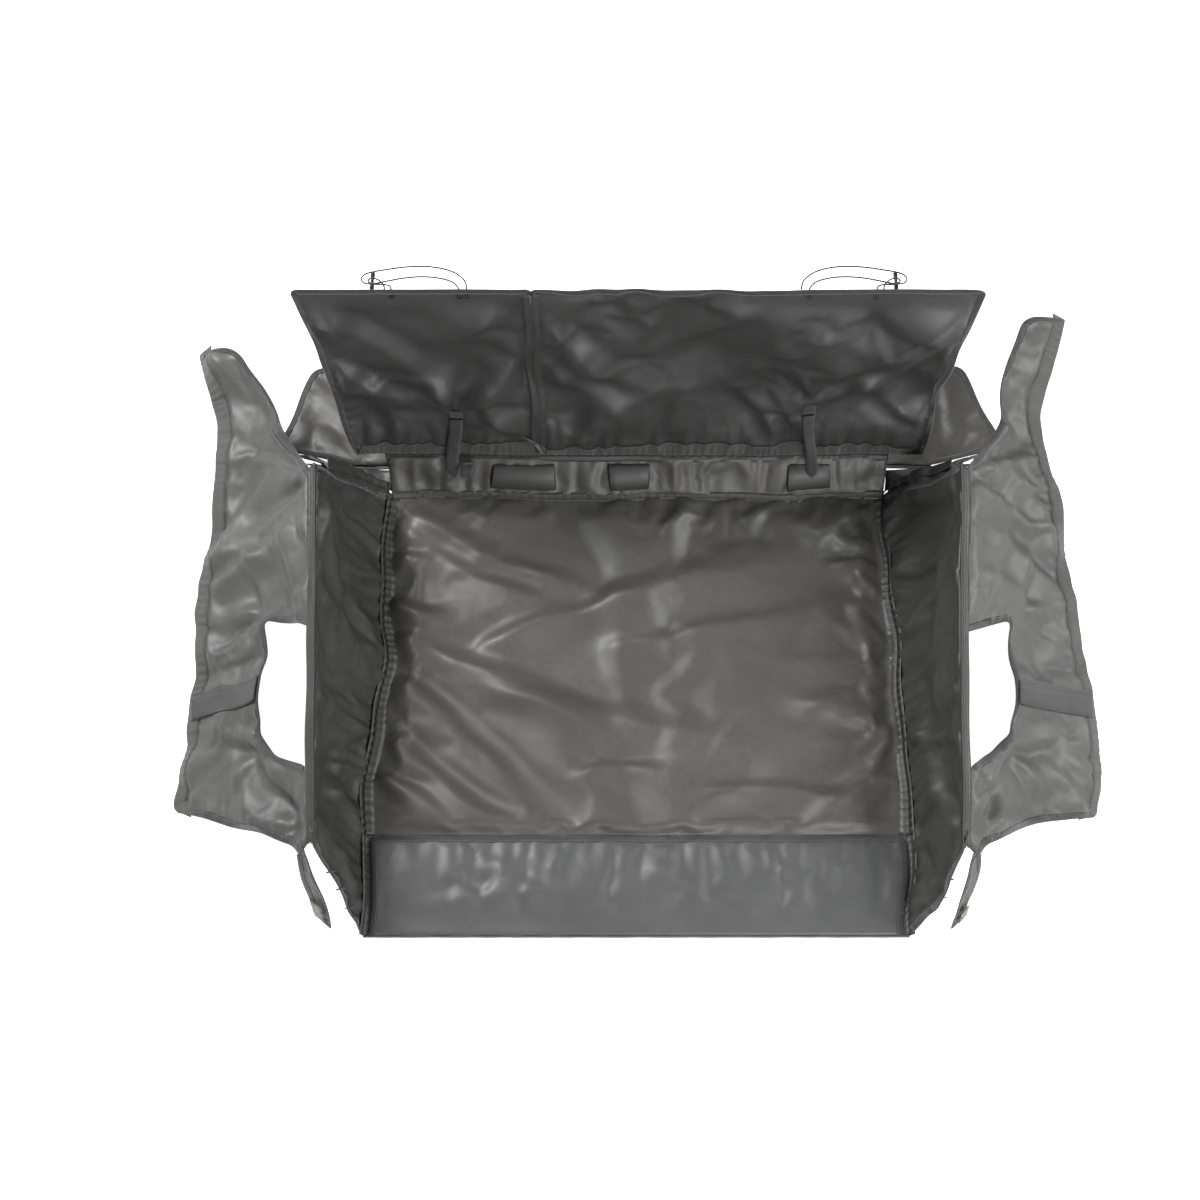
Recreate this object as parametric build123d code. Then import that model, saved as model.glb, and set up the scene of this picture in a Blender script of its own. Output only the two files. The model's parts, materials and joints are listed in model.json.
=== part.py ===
"""Load-space liner: floor, leaning side walls, draped side wings, bumper flap, split back flap.

Millimetres. +Z is up, +Y runs from the bumper end to the seat end, and the origin is the
centre of the floor panel's underside. The right-hand pieces are modelled; the left-hand
ones are their mirror images, apart from the back flap, which is split off centre.
"""
from build123d import *
from math import cos, pi, radians, sin, tan
import os

# ---------------------------------------------------------------- driving dimensions
FLOOR_W = 1000.0          # floor, side to side
FLOOR_D = 900.0           # floor, bumper end to seat end
CLOTH_T = 2.0             # coated cloth with its turnings, and every plain panel
TAPE_W = 12.0             # binding tape, how far it reaches in from an edge
TAPE_T = 0.6              # binding tape, thickness on each face and over the edge
SEAM_W = 16.0             # gathered seam tape along the floor's sides

CLEARANCE = 0.4           # pieces on different bodies that lie on each other
BUTT_GAP = 1.5            # from a hinge line to the panel on each side of it
RIDGE_GAP = 3.2           # the same at the ridge, where the cloth folds sharply

WALL_LEAN = 18.0          # side wall, degrees outward from upright
WALL_FRONT_H = 200.0      # ridge height at its bumper end
WALL_REAR_H = 300.0       # ridge height at its seat end
RIDGE_FRONT_SETBACK = 100.0   # ridge ends, back from the floor's two ends
RIDGE_REAR_SETBACK = 87.0
RIDGE_TAPE_W = 9.0

WING_FALL = 36.2          # wing, degrees down from level, across the ridge
WING_REACH = 356.0        # ridge to the lobe's outer edge
WING_LOBE_U = 118.0       # lobe corner, along the ridge from its front end
WING_TIP_PAST = 319.0     # rear tip, past the ridge's rear end
WING_TIP_V = 280.0        # rear tip, out from the ridge
WING_WAIST = (500.0, 292.0)   # outer edge at its narrowest
WING_BACK_EDGE = ((-6.0, None), (69.0, 85.0), (164.0, 140.0), (294.0, 210.0))   # past the ridge's rear end
WING_LOBE_EDGE = ((-42.0, 7.0), (34.0, 18.0))   # from the closure line, and in from the lobe's edge
WING_CUT_IN = 14.0        # closure line's outer end, in from the lobe's edge
WING_TIP_SIDE = (170.0, 25.0)   # outer edge's next corner, back and in from the tip
WING_FRONT_EDGE = ((74.0, 188.0), (20.0, 60.0), (-8.0, 38.0))
WING_FRONT_START = 4.0
HEM_W = 26.0              # elastic hem along the wing's outer edge
HEM_T = 1.0
CUTOUT_FRONT_U = 150.0
CUTOUT_REAR_U = 398.0
CUTOUT_V = 137.0
CUTOUT_CORNER = ((40.0, 42.0), (78.0, 0.0))     # front corners: back from the front, in from the strip
CUTOUT_REAR_CORNER = 45.0
CLOSURE_U = 312.0         # where the wing's front and rear panels meet
CLOSURE_W = 52.0          # closure tab, along the ridge
CLOSURE_INSET = 6.0       # closure tab back from the strip's two edges
HOOK_INSET = 2.0          # hook and loop tapes, back from the tab's edge and the closure line
HOOK_T = 1.0              # hook tape and loop tape

CORNER_TAB_TOP_W = 34.0
CORNER_TAB_FOOT_W = 56.0
CORNER_TAB_L = 176.0
CORNER_TAB_GAP = 12.0     # from the tab's hinge line to its cloth, clear of the wing's corner
CORNER_HINGE = ((-8.0, 20.0), (14.0, 52.0))     # hinge line, along the ridge and outward
CORNER_HINGE_V = 33.0
CORNER_FOOT_OUT = 77.0    # tab aims at a point out past the floor's corner
CORNER_FOOT_IN = 14.0     # in from the floor's end
CORNER_FOOT_Z = 18.0
HOOK_PATCH_H = 38.0
TIE_W = 5.0
TIE_T = 1.2
TIE_L = 12.0
TIE_INSET = 2.0           # tie's sewn end, in from the wall's edge
TIE_SHARES = (0.3, 0.5, 0.68)   # up the wall's front edge

BUMPER_SIDE_GAP = 12.0    # bumper flap, in from each side of the floor
BUMPER_L = 186.0

SILL_RUN = 57.0           # rear sill, along the floor's direction
SILL_RISE = 62.0
SILL_BACK_RUN = 10.0      # sill's back panel, from its top to the ground
KEEPER_H = 52.0           # tether keepers, up the sill's slope
KEEPER_GAP = 8.0          # room for a belt between a keeper and the sill
KEEPERS = ((-224.0, 120.0), (-14.0, 85.0), (335.0, 90.0))   # centre X, width

FLAP_ANGLE = 84.0         # back flap, degrees from level, leaning back
FLAP_L = 500.0
FLAP_FOOT_OVERHANG = 69.0     # flap, out past each side of the floor
FLAP_WAIST_OVERHANG = 75.0
FLAP_TOP_OVERHANG = 117.0
FLAP_WAIST_V = 130.0
FLAP_SPLIT_X = -190.0
FLAP_RISE = 2.5           # flap hinge line above the sill's top
SPLIT_GAP = 2.0
SPLIT_TAPE_W = 15.0
FLAP_HEM_W = 30.0
FLAP_HEM_T = 1.2

STRAP_W = 25.0            # webbing straps
STRAP_T = 1.5
STRAP_X = {"left": -355.0, "right": 337.0}
STRAP_TOP_V = 119.0       # sewn end, up the flap
STRAP_FOOT_UP = 42.4      # free end, up the sill's slope
STRAP_CLEAR = 2.5         # and clear of a keeper's face
PATCH_H = 24.0
STRAP_LOOP_R = 17.0

CORD_D = 3.0              # elastic cord
CORD_INSET = {"left": 314.0, "right": 328.0}   # first eyelet, in from the flap's top corner
CORD_LINE_V = 493.0       # eyelets, up the flap
CORD_STANDOFF = 5.0       # from the flap's middle to the line the cords turn about
CORD_LOOP_W = 14.0        # between the long loop's two eyelets
EYELET_R = 5.5
EYELET_HOLE_R = 2.6
EYELET_T = 0.8
TOGGLE_R = 4.0
TOGGLE_L = 36.0
TOGGLE_WAIST_R = 2.8
TOGGLE_WAIST_HALF = 3.0   # waist, each way from the toggle's middle
TOGGLE_NECK = 2.0         # taper at each side of the waist
TOGGLE_END = (0.6, 0.5)   # rounded ends, as shares of the radius
TOGGLE_REACH = 168.0      # toggle, out from the first eyelet
TOGGLE_EYELET = 34.0      # short loop's eyelet, in from the toggle
TOGGLE_BACK = 1.5

APRON_D = 232.0
APRON_FOOT_OVERHANG = 90.0    # apron, out past each side of the floor
APRON_WIDE_OVERHANG = 242.0
APRON_TOP_OVERHANG = 168.0
APRON_WIDE_V = 42.0

GUSSET_REACH = 200.0      # gusset's outer corner, out past the floor's side
GUSSET_APRON_Y = 26.0     # and behind the apron's fold line
GUSSET_FOOT_Z = 6.0
GUSSET_SET_BACK = 9.0     # gusset behind the wall's rear edge
GUSSET_TOP = 0.82         # gusset's top, as a share of the wall's rear height

# ---------------------------------------------------------------- worked-out values
HALF_T = CLOTH_T / 2
HALF_W = FLOOR_W / 2
HALF_D = FLOOR_D / 2
RIDGE_FRONT_Y = RIDGE_FRONT_SETBACK - HALF_D
RIDGE_REAR_Y = HALF_D - RIDGE_REAR_SETBACK
SIDES = {"right": 1, "left": -1}
SILL_TOP = (HALF_D + SILL_RUN, CLOTH_T + SILL_RISE)             # Y, Z
FLAP_FOOT = (SILL_TOP[0] + FLAP_RISE, SILL_TOP[1] + FLAP_RISE)       # Y, Z
WING_START_V = RIDGE_GAP + RIDGE_TAPE_W + 2 * BUTT_GAP
FLAP_FOOT_HALF = HALF_W + FLAP_FOOT_OVERHANG
FLAP_WAIST_HALF = HALF_W + FLAP_WAIST_OVERHANG
FLAP_TOP_HALF = HALF_W + FLAP_TOP_OVERHANG
CORD_X = {side: sign * (FLAP_TOP_HALF - CORD_INSET[side]) for side, sign in SIDES.items()}
APRON_FOOT_Y = SILL_TOP[0] + SILL_BACK_RUN + CLOTH_T + BUTT_GAP       # apron's fold line
APRON_FOOT_HALF = HALF_W + APRON_FOOT_OVERHANG
APRON_WIDE_HALF = HALF_W + APRON_WIDE_OVERHANG
APRON_TOP_HALF = HALF_W + APRON_TOP_OVERHANG
GUSSET_FOOT = (HALF_W + GUSSET_REACH, APRON_FOOT_Y + GUSSET_APRON_Y, GUSSET_FOOT_Z)


# ---------------------------------------------------------------- small helpers
def plate(plane, outline, thick=CLOTH_T, low=None):
    """A flat plate on a plane, from its lowest local Z, or centred when low isn't given."""
    face = make_face(Polyline(*outline, close=True))
    base = -thick / 2 if low is None else low
    solid = extrude(face, amount=thick, dir=(0, 0, 1))
    return plane * Pos(0, 0, base) * solid


def grown(outline, amount):
    """The outline's face, grown outward with sharp corners."""
    return offset(make_face(Polyline(*outline, close=True)), amount=amount, kind=Kind.INTERSECTION)


def strip_face(start, end, inside, outside):
    """A rectangle along an edge, reaching inside (to its left) and outside of it."""
    run = Vector(*end) - Vector(*start)
    along = run.normalized()
    left = Vector(-along.Y, along.X)
    first = Vector(*start) - along * inside
    last = Vector(*end) + along * inside
    low = left * outside
    high = left * inside
    corners = (first - low, last - low, last + high, first + high)
    return make_face(Polyline(*[(corner.X, corner.Y) for corner in corners], close=True))


def folded_tape(plane, outline, edges, width=TAPE_W, cover=TAPE_T):
    """Tape folded over some of a plate's edges; the outline runs counter-clockwise."""
    count = len(outline)
    faces = [strip_face(outline[i], outline[(i + 1) % count], width, cover) for i in edges]
    band = faces[0]
    for face in faces[1:]:
        band = band + face
    band = band & grown(outline, cover)
    thick = CLOTH_T + 2 * cover
    tape = Pos(0, 0, -thick / 2) * extrude(band, amount=thick, dir=(0, 0, 1))
    panel = extrude(make_face(Polyline(*outline, close=True)), amount=CLOTH_T, dir=(0, 0, 1))
    core = Pos(0, 0, -HALF_T) * panel
    return plane * (tape - core)


def for_side(shape, side):
    """The right-hand shape, or its mirror image for the left."""
    return shape if side == "right" else mirror(shape, about=Plane.YZ)


def save(shape, node):
    """Write one node's STEP file."""
    export_step(shape if isinstance(shape, Compound) else Compound(children=[shape]), f"parts/{node}.step")


def rect(x0, y0, x1, y1):
    """Corners of a rectangle, counter-clockwise."""
    return [(x0, y0), (x1, y0), (x1, y1), (x0, y1)]


def along_plane(origin, x_axis, y_axis):
    """A plane with the given local X and Y directions."""
    x_dir = Vector(*x_axis).normalized()
    return Plane(origin=origin, x_dir=x_dir, z_dir=x_dir.cross(Vector(*y_axis)).normalized())


# ---------------------------------------------------------------- floor and seams
def make_floor():
    """Floor panel, with its edges back from the hinge lines."""
    half_w = HALF_W - BUTT_GAP
    return plate(Plane.XY, rect(-half_w, -HALF_D, half_w, HALF_D), low=0)


def make_floor_seams():
    """Gathered seam tapes on the floor, one along each side."""
    outer = HALF_W - BUTT_GAP
    start = BUMPER_L + SEAM_W - HALF_D
    right = plate(Plane.XY, rect(outer - SEAM_W, start, outer, HALF_D), TAPE_T, low=CLOTH_T)
    return Compound(children=[right, mirror(right, about=Plane.YZ)])


# ---------------------------------------------------------------- bumper flap
BUMPER_IN_Z = CLOTH_T + CLEARANCE + TAPE_T + HALF_T      # flap's middle, folded in over the floor
BUMPER_OUT_Z = TAPE_T + HALF_T + CLEARANCE / 2           # flap's middle, folded out on the ground
BUMPER_HINGE_Z = (BUMPER_IN_Z + BUMPER_OUT_Z) / 2


def bumper_outline():
    """Outline of the flap from its fold, on the hinge's plane."""
    half = HALF_W - BUMPER_SIDE_GAP
    return rect(-half, BUTT_GAP, half, BUMPER_L)


def make_bumper():
    """Bumper flap folded inward over the floor, and the binding on its free edges."""
    plane = Plane(origin=(0, -HALF_D - BUTT_GAP, BUMPER_IN_Z))
    outline = bumper_outline()
    return plate(plane, outline), folded_tape(plane, outline, edges=(1, 2, 3))


# ---------------------------------------------------------------- side walls and ridge
def wall_plane():
    """Right wall: local X along the floor's edge, local Y up the slope."""
    lean = radians(WALL_LEAN)
    return along_plane((HALF_W, 0, HALF_T), (0, 1, 0), (sin(lean), 0, cos(lean)))


def wall_slope(height):
    """Distance up the wall to a height."""
    return (height - HALF_T) / cos(radians(WALL_LEAN))


def wall_outline():
    """Right wall's outline in its plane."""
    return [
        (-HALF_D, BUTT_GAP),
        (HALF_D, BUTT_GAP),
        (RIDGE_REAR_Y, wall_slope(WALL_REAR_H) - RIDGE_GAP),
        (RIDGE_FRONT_Y, wall_slope(WALL_FRONT_H) - RIDGE_GAP),
    ]


def make_wall():
    """Right wall and the binding on its two raking edges."""
    plane = wall_plane()
    outline = wall_outline()
    return plate(plane, outline), folded_tape(plane, outline, edges=(1, 3))


def ridge_ends():
    """World points of the ridge's front and rear ends."""
    plane = wall_plane()
    front = plane.from_local_coords(Vector(RIDGE_FRONT_Y, wall_slope(WALL_FRONT_H), 0))
    rear = plane.from_local_coords(Vector(RIDGE_REAR_Y, wall_slope(WALL_REAR_H), 0))
    return front, rear


def wing_plane():
    """Right wing: local X along the ridge, local Y out and down."""
    front, rear = ridge_ends()
    along = (rear - front).normalized()
    level = along.cross(Vector(0, 0, 1)).normalized()
    upright = level.cross(along).normalized()
    fall = radians(WING_FALL)
    out = level * cos(fall) - upright * sin(fall)
    return Plane(origin=front, x_dir=along, z_dir=along.cross(out) * -1), along, out


def make_ridge_tape(plane, length):
    """Tape that joins the wall to the wing along the ridge."""
    return plate(plane, flipped(rect(0, RIDGE_GAP, length, RIDGE_GAP + RIDGE_TAPE_W)))


def flipped(outline):
    """Wing outlines are given along the ridge and outward; local Y runs the other way."""
    return [(u, -v) for u, v in reversed(outline)]


# ---------------------------------------------------------------- wings
def wing_rear_outline():
    """Rear panel, along the ridge and outward, counter-clockwise."""
    front, rear = ridge_ends()
    ridge_end = (rear - front).length
    tip_u = ridge_end + WING_TIP_PAST
    return [
        (CUTOUT_REAR_U, WING_START_V),
        *[(ridge_end + past, WING_START_V if v is None else v) for past, v in WING_BACK_EDGE],
        (tip_u, WING_TIP_V),
        (tip_u - WING_TIP_SIDE[0], WING_TIP_V - WING_TIP_SIDE[1]),
        WING_WAIST,
        (CLOSURE_U + WING_LOBE_EDGE[1][0], WING_REACH - WING_LOBE_EDGE[1][1]),
        (CLOSURE_U + CLEARANCE, WING_REACH - WING_CUT_IN),
        (CLOSURE_U + CLEARANCE, CUTOUT_V),
        (CUTOUT_REAR_U + CUTOUT_REAR_CORNER, CUTOUT_V),
    ]


def wing_front_outline():
    """Front panel, along the ridge and outward, counter-clockwise."""
    return [
        (WING_FRONT_START, WING_START_V),
        (CUTOUT_FRONT_U, WING_START_V),
        *[(CUTOUT_FRONT_U + back, CUTOUT_V - short) for back, short in CUTOUT_CORNER],
        (CLOSURE_U - CLEARANCE, CUTOUT_V),
        (CLOSURE_U - CLEARANCE, WING_REACH - WING_CUT_IN),
        (CLOSURE_U + WING_LOBE_EDGE[0][0], WING_REACH - WING_LOBE_EDGE[0][1]),
        (WING_LOBE_U, WING_REACH),
        *WING_FRONT_EDGE,
    ]


def make_wing(plane):
    """Right wing's two panels, outer hem, bindings and the loop tape under the closure."""
    rear = flipped(wing_rear_outline())
    front = flipped(wing_front_outline())
    rear_panel = plate(plane, rear)
    front_panel = plate(plane, front)
    hem_rear = folded_tape(plane, rear, edges_between(wing_rear_outline(), 5, 9), HEM_W, HEM_T)
    hem_front = folded_tape(plane, front, edges_between(wing_front_outline(), 5, 7), HEM_W, HEM_T)
    cut = closure_cut(plane)
    hem_rear = hem_rear - cut
    hem_front = hem_front - cut
    bind_rear = folded_tape(plane, rear, edges_between(wing_rear_outline(), 1, 5))
    bind_cut_rear = folded_tape(plane, rear, edges_between(wing_rear_outline(), 10, 12))
    bind_cut_front = folded_tape(plane, front, edges_between(wing_front_outline(), 1, 4))
    bind_front = folded_tape(plane, front, edges_between(wing_front_outline(), 7, 10))
    hems = [hem_rear, hem_front]
    bindings = []
    for tape in (bind_rear, bind_cut_rear, bind_cut_front, bind_front):
        for hem in hems:
            tape = tape - hem
        bindings.append(tape - cut)
    inner = CUTOUT_V + TAPE_W + CLEARANCE
    outer = WING_REACH - WING_CUT_IN - HEM_W - CLEARANCE
    loop = flipped(rect(CLOSURE_U - CLOSURE_W / 2, inner, CLOSURE_U - HOOK_INSET, outer))
    loop_tape = plate(plane, loop, HOOK_T, low=HALF_T)
    return rear_panel, front_panel, as_group(hems), as_group(bindings), loop_tape


def edges_between(outline, first, last):
    """Indices, in the flipped outline, of the edges from one corner of the outline to another."""
    count = len(outline)
    return [(count - 2 - i) % count for i in range(first, last)]


def as_group(shapes):
    """All the solids of some shapes in one compound."""
    return Compound(children=[solid for shape in shapes for solid in shape.solids()])


def closure_cut(plane):
    """Space kept free of tape around the line where the two panels meet."""
    half = CLEARANCE + HEM_T
    slot = flipped(rect(CLOSURE_U - half, 0, CLOSURE_U + half, WING_REACH + HEM_W))
    return plate(plane, slot, 3 * CLOTH_T)


def make_closure(plane):
    """Closure tab over the wing's outer strip, and the hook tape under it."""
    hinge_u = CLOSURE_U + CLOSURE_W / 2
    near = CUTOUT_V + CLOSURE_INSET
    far = WING_REACH - WING_CUT_IN - CLOSURE_INSET
    start = hinge_u - CLOSURE_W
    hook_low = HALF_T + HOOK_T + CLEARANCE
    tab_low = hook_low + HOOK_T
    tab = plate(plane, flipped(rect(start, near, hinge_u - BUTT_GAP, far)), CLOTH_T, low=tab_low)
    inner = CUTOUT_V + TAPE_W + CLEARANCE
    outer = WING_REACH - WING_CUT_IN - HEM_W - CLEARANCE
    hook_outline = flipped(rect(start + HOOK_INSET, inner, CLOSURE_U - HOOK_INSET, outer))
    hook = plate(plane, hook_outline, HOOK_T, low=hook_low)
    return tab, hook


# ---------------------------------------------------------------- corner tabs
def corner_plane(plane):
    """Right corner tab: local X across it, local Y from its foot up to its hinge."""
    top = plane.from_local_coords(Vector(0, -CORNER_HINGE_V, 0))
    foot = Vector(HALF_W + CORNER_FOOT_OUT, -HALF_D + CORNER_FOOT_IN, CORNER_FOOT_Z)
    ends = [plane.from_local_coords(Vector(u, -v, 0)) for u, v in CORNER_HINGE]
    across = ends[1] - ends[0]
    return along_plane(top, across, top - foot)


def make_corner_tab(plane):
    """Tab that hangs from the wing's front corner, with the hook patch near its foot."""
    tab_plane = corner_plane(plane)
    top = CORNER_TAB_TOP_W / 2
    foot = CORNER_TAB_FOOT_W / 2
    outline = [
        (-foot, -CORNER_TAB_L),
        (foot, -CORNER_TAB_L),
        (top, -CORNER_TAB_GAP),
        (-top, -CORNER_TAB_GAP),
    ]
    tab = plate(tab_plane, outline)
    binding = folded_tape(tab_plane, outline, edges=(0, 1, 3), width=TAPE_W / 2)
    low = -CORNER_TAB_L + TAPE_W
    half = foot - TAPE_W
    patch = plate(tab_plane, rect(-half, low, half, low + HOOK_PATCH_H), HOOK_T, low=-HALF_T - HOOK_T)
    return tab, binding, patch


def make_ties(wall, binding):
    """Thin lacing ties from the wall's front edge towards the corner tab."""
    plane = wall_plane()
    ties = []
    for share in TIE_SHARES:
        height = wall_slope(WALL_FRONT_H) * share
        edge_u = RIDGE_FRONT_SETBACK * share - HALF_D
        start = plane.from_local_coords(Vector(edge_u + TIE_INSET, height, HALF_T + TAPE_T))
        tie = Pos(start.X + TIE_L / 2, start.Y, start.Z) * Box(TIE_L, TIE_T, TIE_W)
        ties.append(tie - wall - binding)
    return as_group(ties)


# ---------------------------------------------------------------- rear sill, keepers, gussets, apron
def sill_plane():
    """Rear sill: local X across, local Y up its slope."""
    return along_plane((0, HALF_D, CLOTH_T), (1, 0, 0), (0, SILL_RUN, SILL_RISE))


def sill_length():
    """Length of the sill up its slope."""
    return (SILL_RUN ** 2 + SILL_RISE ** 2) ** 0.5


def make_sill():
    """Rear sill panel and the back panel that drops from it to the ground."""
    half = HALF_W - BUTT_GAP - CLOTH_T
    sill = plate(sill_plane(), rect(-half, HALF_T, half, sill_length() - HALF_T), CLOTH_T, low=0)
    top_y, top_z = SILL_TOP
    drop = top_z - CLOTH_T
    back_plane = along_plane((0, top_y + SILL_BACK_RUN, 0), (1, 0, 0), (0, -SILL_BACK_RUN, drop))
    back = plate(back_plane, rect(-half, 0.5, half, drop - 1), CLOTH_T, low=-CLOTH_T)
    ground = Pos(0, 0, -5) * Box(3 * FLOOR_W, 3 * FLOOR_D, 10)
    return sill - ground, back - ground - sill


def make_keepers():
    """Keepers sewn to the sill along their top and bottom edges, open at the sides."""
    plane = sill_plane()
    low = (sill_length() - KEEPER_H) / 2
    high = low + KEEPER_H
    keepers = []
    for centre, width in KEEPERS:
        x0 = centre - width / 2
        x1 = centre + width / 2
        face = plate(plane, rect(x0, low, x1, high), CLOTH_T, low=CLOTH_T + KEEPER_GAP)
        foot_low = plate(plane, rect(x0, low, x1, low + CLOTH_T), KEEPER_GAP, low=CLOTH_T)
        foot_high = plate(plane, rect(x0, high - CLOTH_T, x1, high), KEEPER_GAP, low=CLOTH_T)
        keepers.append(face + foot_low + foot_high)
    return as_group(keepers)


def make_gusset():
    """Right rear corner gusset, from beside the wall's rear edge out to the apron."""
    plane = wall_plane()
    rear = HALF_D - RIDGE_REAR_SETBACK * GUSSET_TOP + GUSSET_SET_BACK
    foot = plane.from_local_coords(Vector(HALF_D + GUSSET_SET_BACK, GUSSET_FOOT_Z, 0))
    top = plane.from_local_coords(Vector(rear, wall_slope(WALL_REAR_H) * GUSSET_TOP, 0))
    corner = Vector(*GUSSET_FOOT)
    local = along_plane(foot, corner - foot, top - foot)
    flat = [local.to_local_coords(point) for point in (foot, corner, top)]
    return plate(local, [(point.X, point.Y) for point in flat])


def apron_plane():
    """Rear apron: flat on the ground behind the sill, local Y away from it."""
    return Plane(origin=(0, APRON_FOOT_Y, HALF_T + TAPE_T))


def make_apron():
    """Rear apron and the binding on its free edges."""
    outline = [
        (-APRON_FOOT_HALF, BUTT_GAP),
        (APRON_FOOT_HALF, BUTT_GAP),
        (APRON_WIDE_HALF, APRON_WIDE_V),
        (APRON_TOP_HALF, APRON_D),
        (-APRON_TOP_HALF, APRON_D),
        (-APRON_WIDE_HALF, APRON_WIDE_V),
    ]
    plane = apron_plane()
    return plate(plane, outline), folded_tape(plane, outline, edges=(1, 2, 3, 4, 5))


# ---------------------------------------------------------------- back flap
def flap_plane():
    """Back flap: local X across, local Y up it, local Z towards the load space."""
    lean = radians(FLAP_ANGLE)
    return along_plane((0, FLAP_FOOT[0], FLAP_FOOT[1]), (1, 0, 0), (0, cos(lean), sin(lean)))


def flap_outline(side):
    """One half of the flap, counter-clockwise from its bottom left corner."""
    start = BUTT_GAP + FLAP_HEM_T
    if side == "right":
        inner = FLAP_SPLIT_X + SPLIT_GAP / 2
        return [
            (inner, start),
            (FLAP_FOOT_HALF, start),
            (FLAP_WAIST_HALF, FLAP_WAIST_V),
            (FLAP_TOP_HALF, FLAP_L),
            (inner, FLAP_L),
        ]
    inner = FLAP_SPLIT_X - SPLIT_GAP / 2
    return [
        (inner, start),
        (inner, FLAP_L),
        (-FLAP_TOP_HALF, FLAP_L),
        (-FLAP_WAIST_HALF, FLAP_WAIST_V),
        (-FLAP_FOOT_HALF, start),
    ]


FLAP_EDGES = {"right": {"bound": (1, 2, 3), "hem": (0,)}, "left": {"bound": (1, 2, 3), "hem": (4,)}}


def cord_holes(plane, side):
    """Places of the three eyelets on one half, on the flap's plane."""
    sign = SIDES[side]
    places = (0.0, CORD_LOOP_W, TOGGLE_REACH - TOGGLE_EYELET)
    return [(CORD_X[side] + sign * place, CORD_LINE_V - TAPE_W) for place in places]


def make_flap(side):
    """One half of the back flap with its binding, elastic hem, split tape and eyelets."""
    plane = flap_plane()
    outline = flap_outline(side)
    panel = plate(plane, outline)
    binding = folded_tape(plane, outline, FLAP_EDGES[side]["bound"], TAPE_W)
    hem = folded_tape(plane, outline, FLAP_EDGES[side]["hem"], FLAP_HEM_W, FLAP_HEM_T)
    split_edge = FLAP_SPLIT_X + SIDES[side] * SPLIT_GAP / 2
    far_edge = split_edge + SIDES[side] * SPLIT_TAPE_W
    low = BUTT_GAP + FLAP_HEM_T + FLAP_HEM_W + CLEARANCE
    high = FLAP_L - TAPE_W - CLEARANCE
    tape = rect(min(split_edge, far_edge), low, max(split_edge, far_edge), high)
    split_tape = plate(plane, tape, HOOK_T, low=HALF_T)
    binding = binding - hem - gap_block(plane)
    hem = hem - gap_block(plane)
    eyelets = []
    for x, v in cord_holes(plane, side):
        hole = plane * Pos(x, v, 0) * Cylinder(EYELET_HOLE_R, 4 * CLOTH_T)
        panel = panel - plane * Pos(x, v, 0) * Cylinder(EYELET_HOLE_R + EYELET_T, 4 * CLOTH_T)
        binding = binding - plane * Pos(x, v, 0) * Cylinder(EYELET_R + CLEARANCE, 4 * CLOTH_T)
        barrel = plane * Pos(x, v, 0) * Cylinder(EYELET_HOLE_R + EYELET_T, CLOTH_T)
        front = plane * Pos(x, v, HALF_T + EYELET_T / 2) * Cylinder(EYELET_R, EYELET_T)
        back = plane * Pos(x, v, -HALF_T - EYELET_T / 2) * Cylinder(EYELET_R, EYELET_T)
        eyelets.append(barrel + front + back - hole)
    patch_low = STRAP_TOP_V + BUTT_GAP
    patch_x = STRAP_X[side]
    patch_rect = rect(patch_x - STRAP_W / 2, patch_low, patch_x + STRAP_W / 2, patch_low + PATCH_H)
    patch = plate(plane, patch_rect, STRAP_T, low=HALF_T)
    return panel, binding, hem, split_tape, as_group(eyelets), patch


def gap_block(plane):
    """The slit between the two halves, kept free of tape."""
    half = SPLIT_GAP / 2
    slit = rect(FLAP_SPLIT_X - half, -FLAP_HEM_W, FLAP_SPLIT_X + half, FLAP_L + TAPE_W)
    return plate(plane, slit, 5 * CLOTH_T)


def strap_plane(side):
    """Webbing strap: hinge line at its sewn end, local Y up the strap."""
    plane = flap_plane()
    top = plane.from_local_coords(Vector(STRAP_X[side], STRAP_TOP_V, HALF_T + STRAP_T / 2))
    off_sill = CLOTH_T + KEEPER_GAP + CLOTH_T + STRAP_CLEAR
    foot = sill_plane().from_local_coords(Vector(STRAP_X[side], STRAP_FOOT_UP, off_sill))
    return along_plane(top, (1, 0, 0), top - foot), (top - foot).length


def make_strap(side):
    """Webbing strap with a pointed free end."""
    plane, length = strap_plane(side)
    half = STRAP_W / 2
    top = -2 * BUTT_GAP
    outline = [(0, -length), (half, half - length), (half, top), (-half, top), (-half, half - length)]
    return plate(plane, outline, STRAP_T)


def make_strap_loop():
    """Loop of webbing turned over at the left strap's free end."""
    plane, length = strap_plane("left")
    ring = Cylinder(STRAP_LOOP_R, STRAP_W) - Cylinder(STRAP_LOOP_R - STRAP_T, STRAP_W)
    place = plane * Pos(STRAP_W / 2 + CLEARANCE + STRAP_W / 2, -length + 2 * STRAP_LOOP_R, STRAP_LOOP_R)
    return place * Rot(0, 90, 0) * ring


# ---------------------------------------------------------------- elastic cords and toggles
LONG_LOOP = (
    (0, 1.5, 0),
    (1, 14, 0),
    (10, 27, 2),
    (32, 41, 3),
    (70, 49, 3),
    (112, 46, 5),
    (148, 37, 8),
    (170, 32, 9),
    (183, 27, 8),
    (188, 18, 7),
    (182, 9, 8),
    (168, 6, 9),
    (146, 12, 8),
    (110, 23, 5),
    (72, 27, 3),
    (38, 22, 2),
    (19, 13, 0),
    (14, 1.5, 0),
)
SHORT_LOOP = (
    (134, 1.5, 0),
    (135, 11, -3),
    (148, 17, -7),
    (166, 18.5, -10),
    (177.5, 19, -2),
    (172, 19.5, 8),
    (160, 19, 8),
    (150, 14, 3),
    (146, 7, 0),
    (146, 1.5, 0),
)


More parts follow.
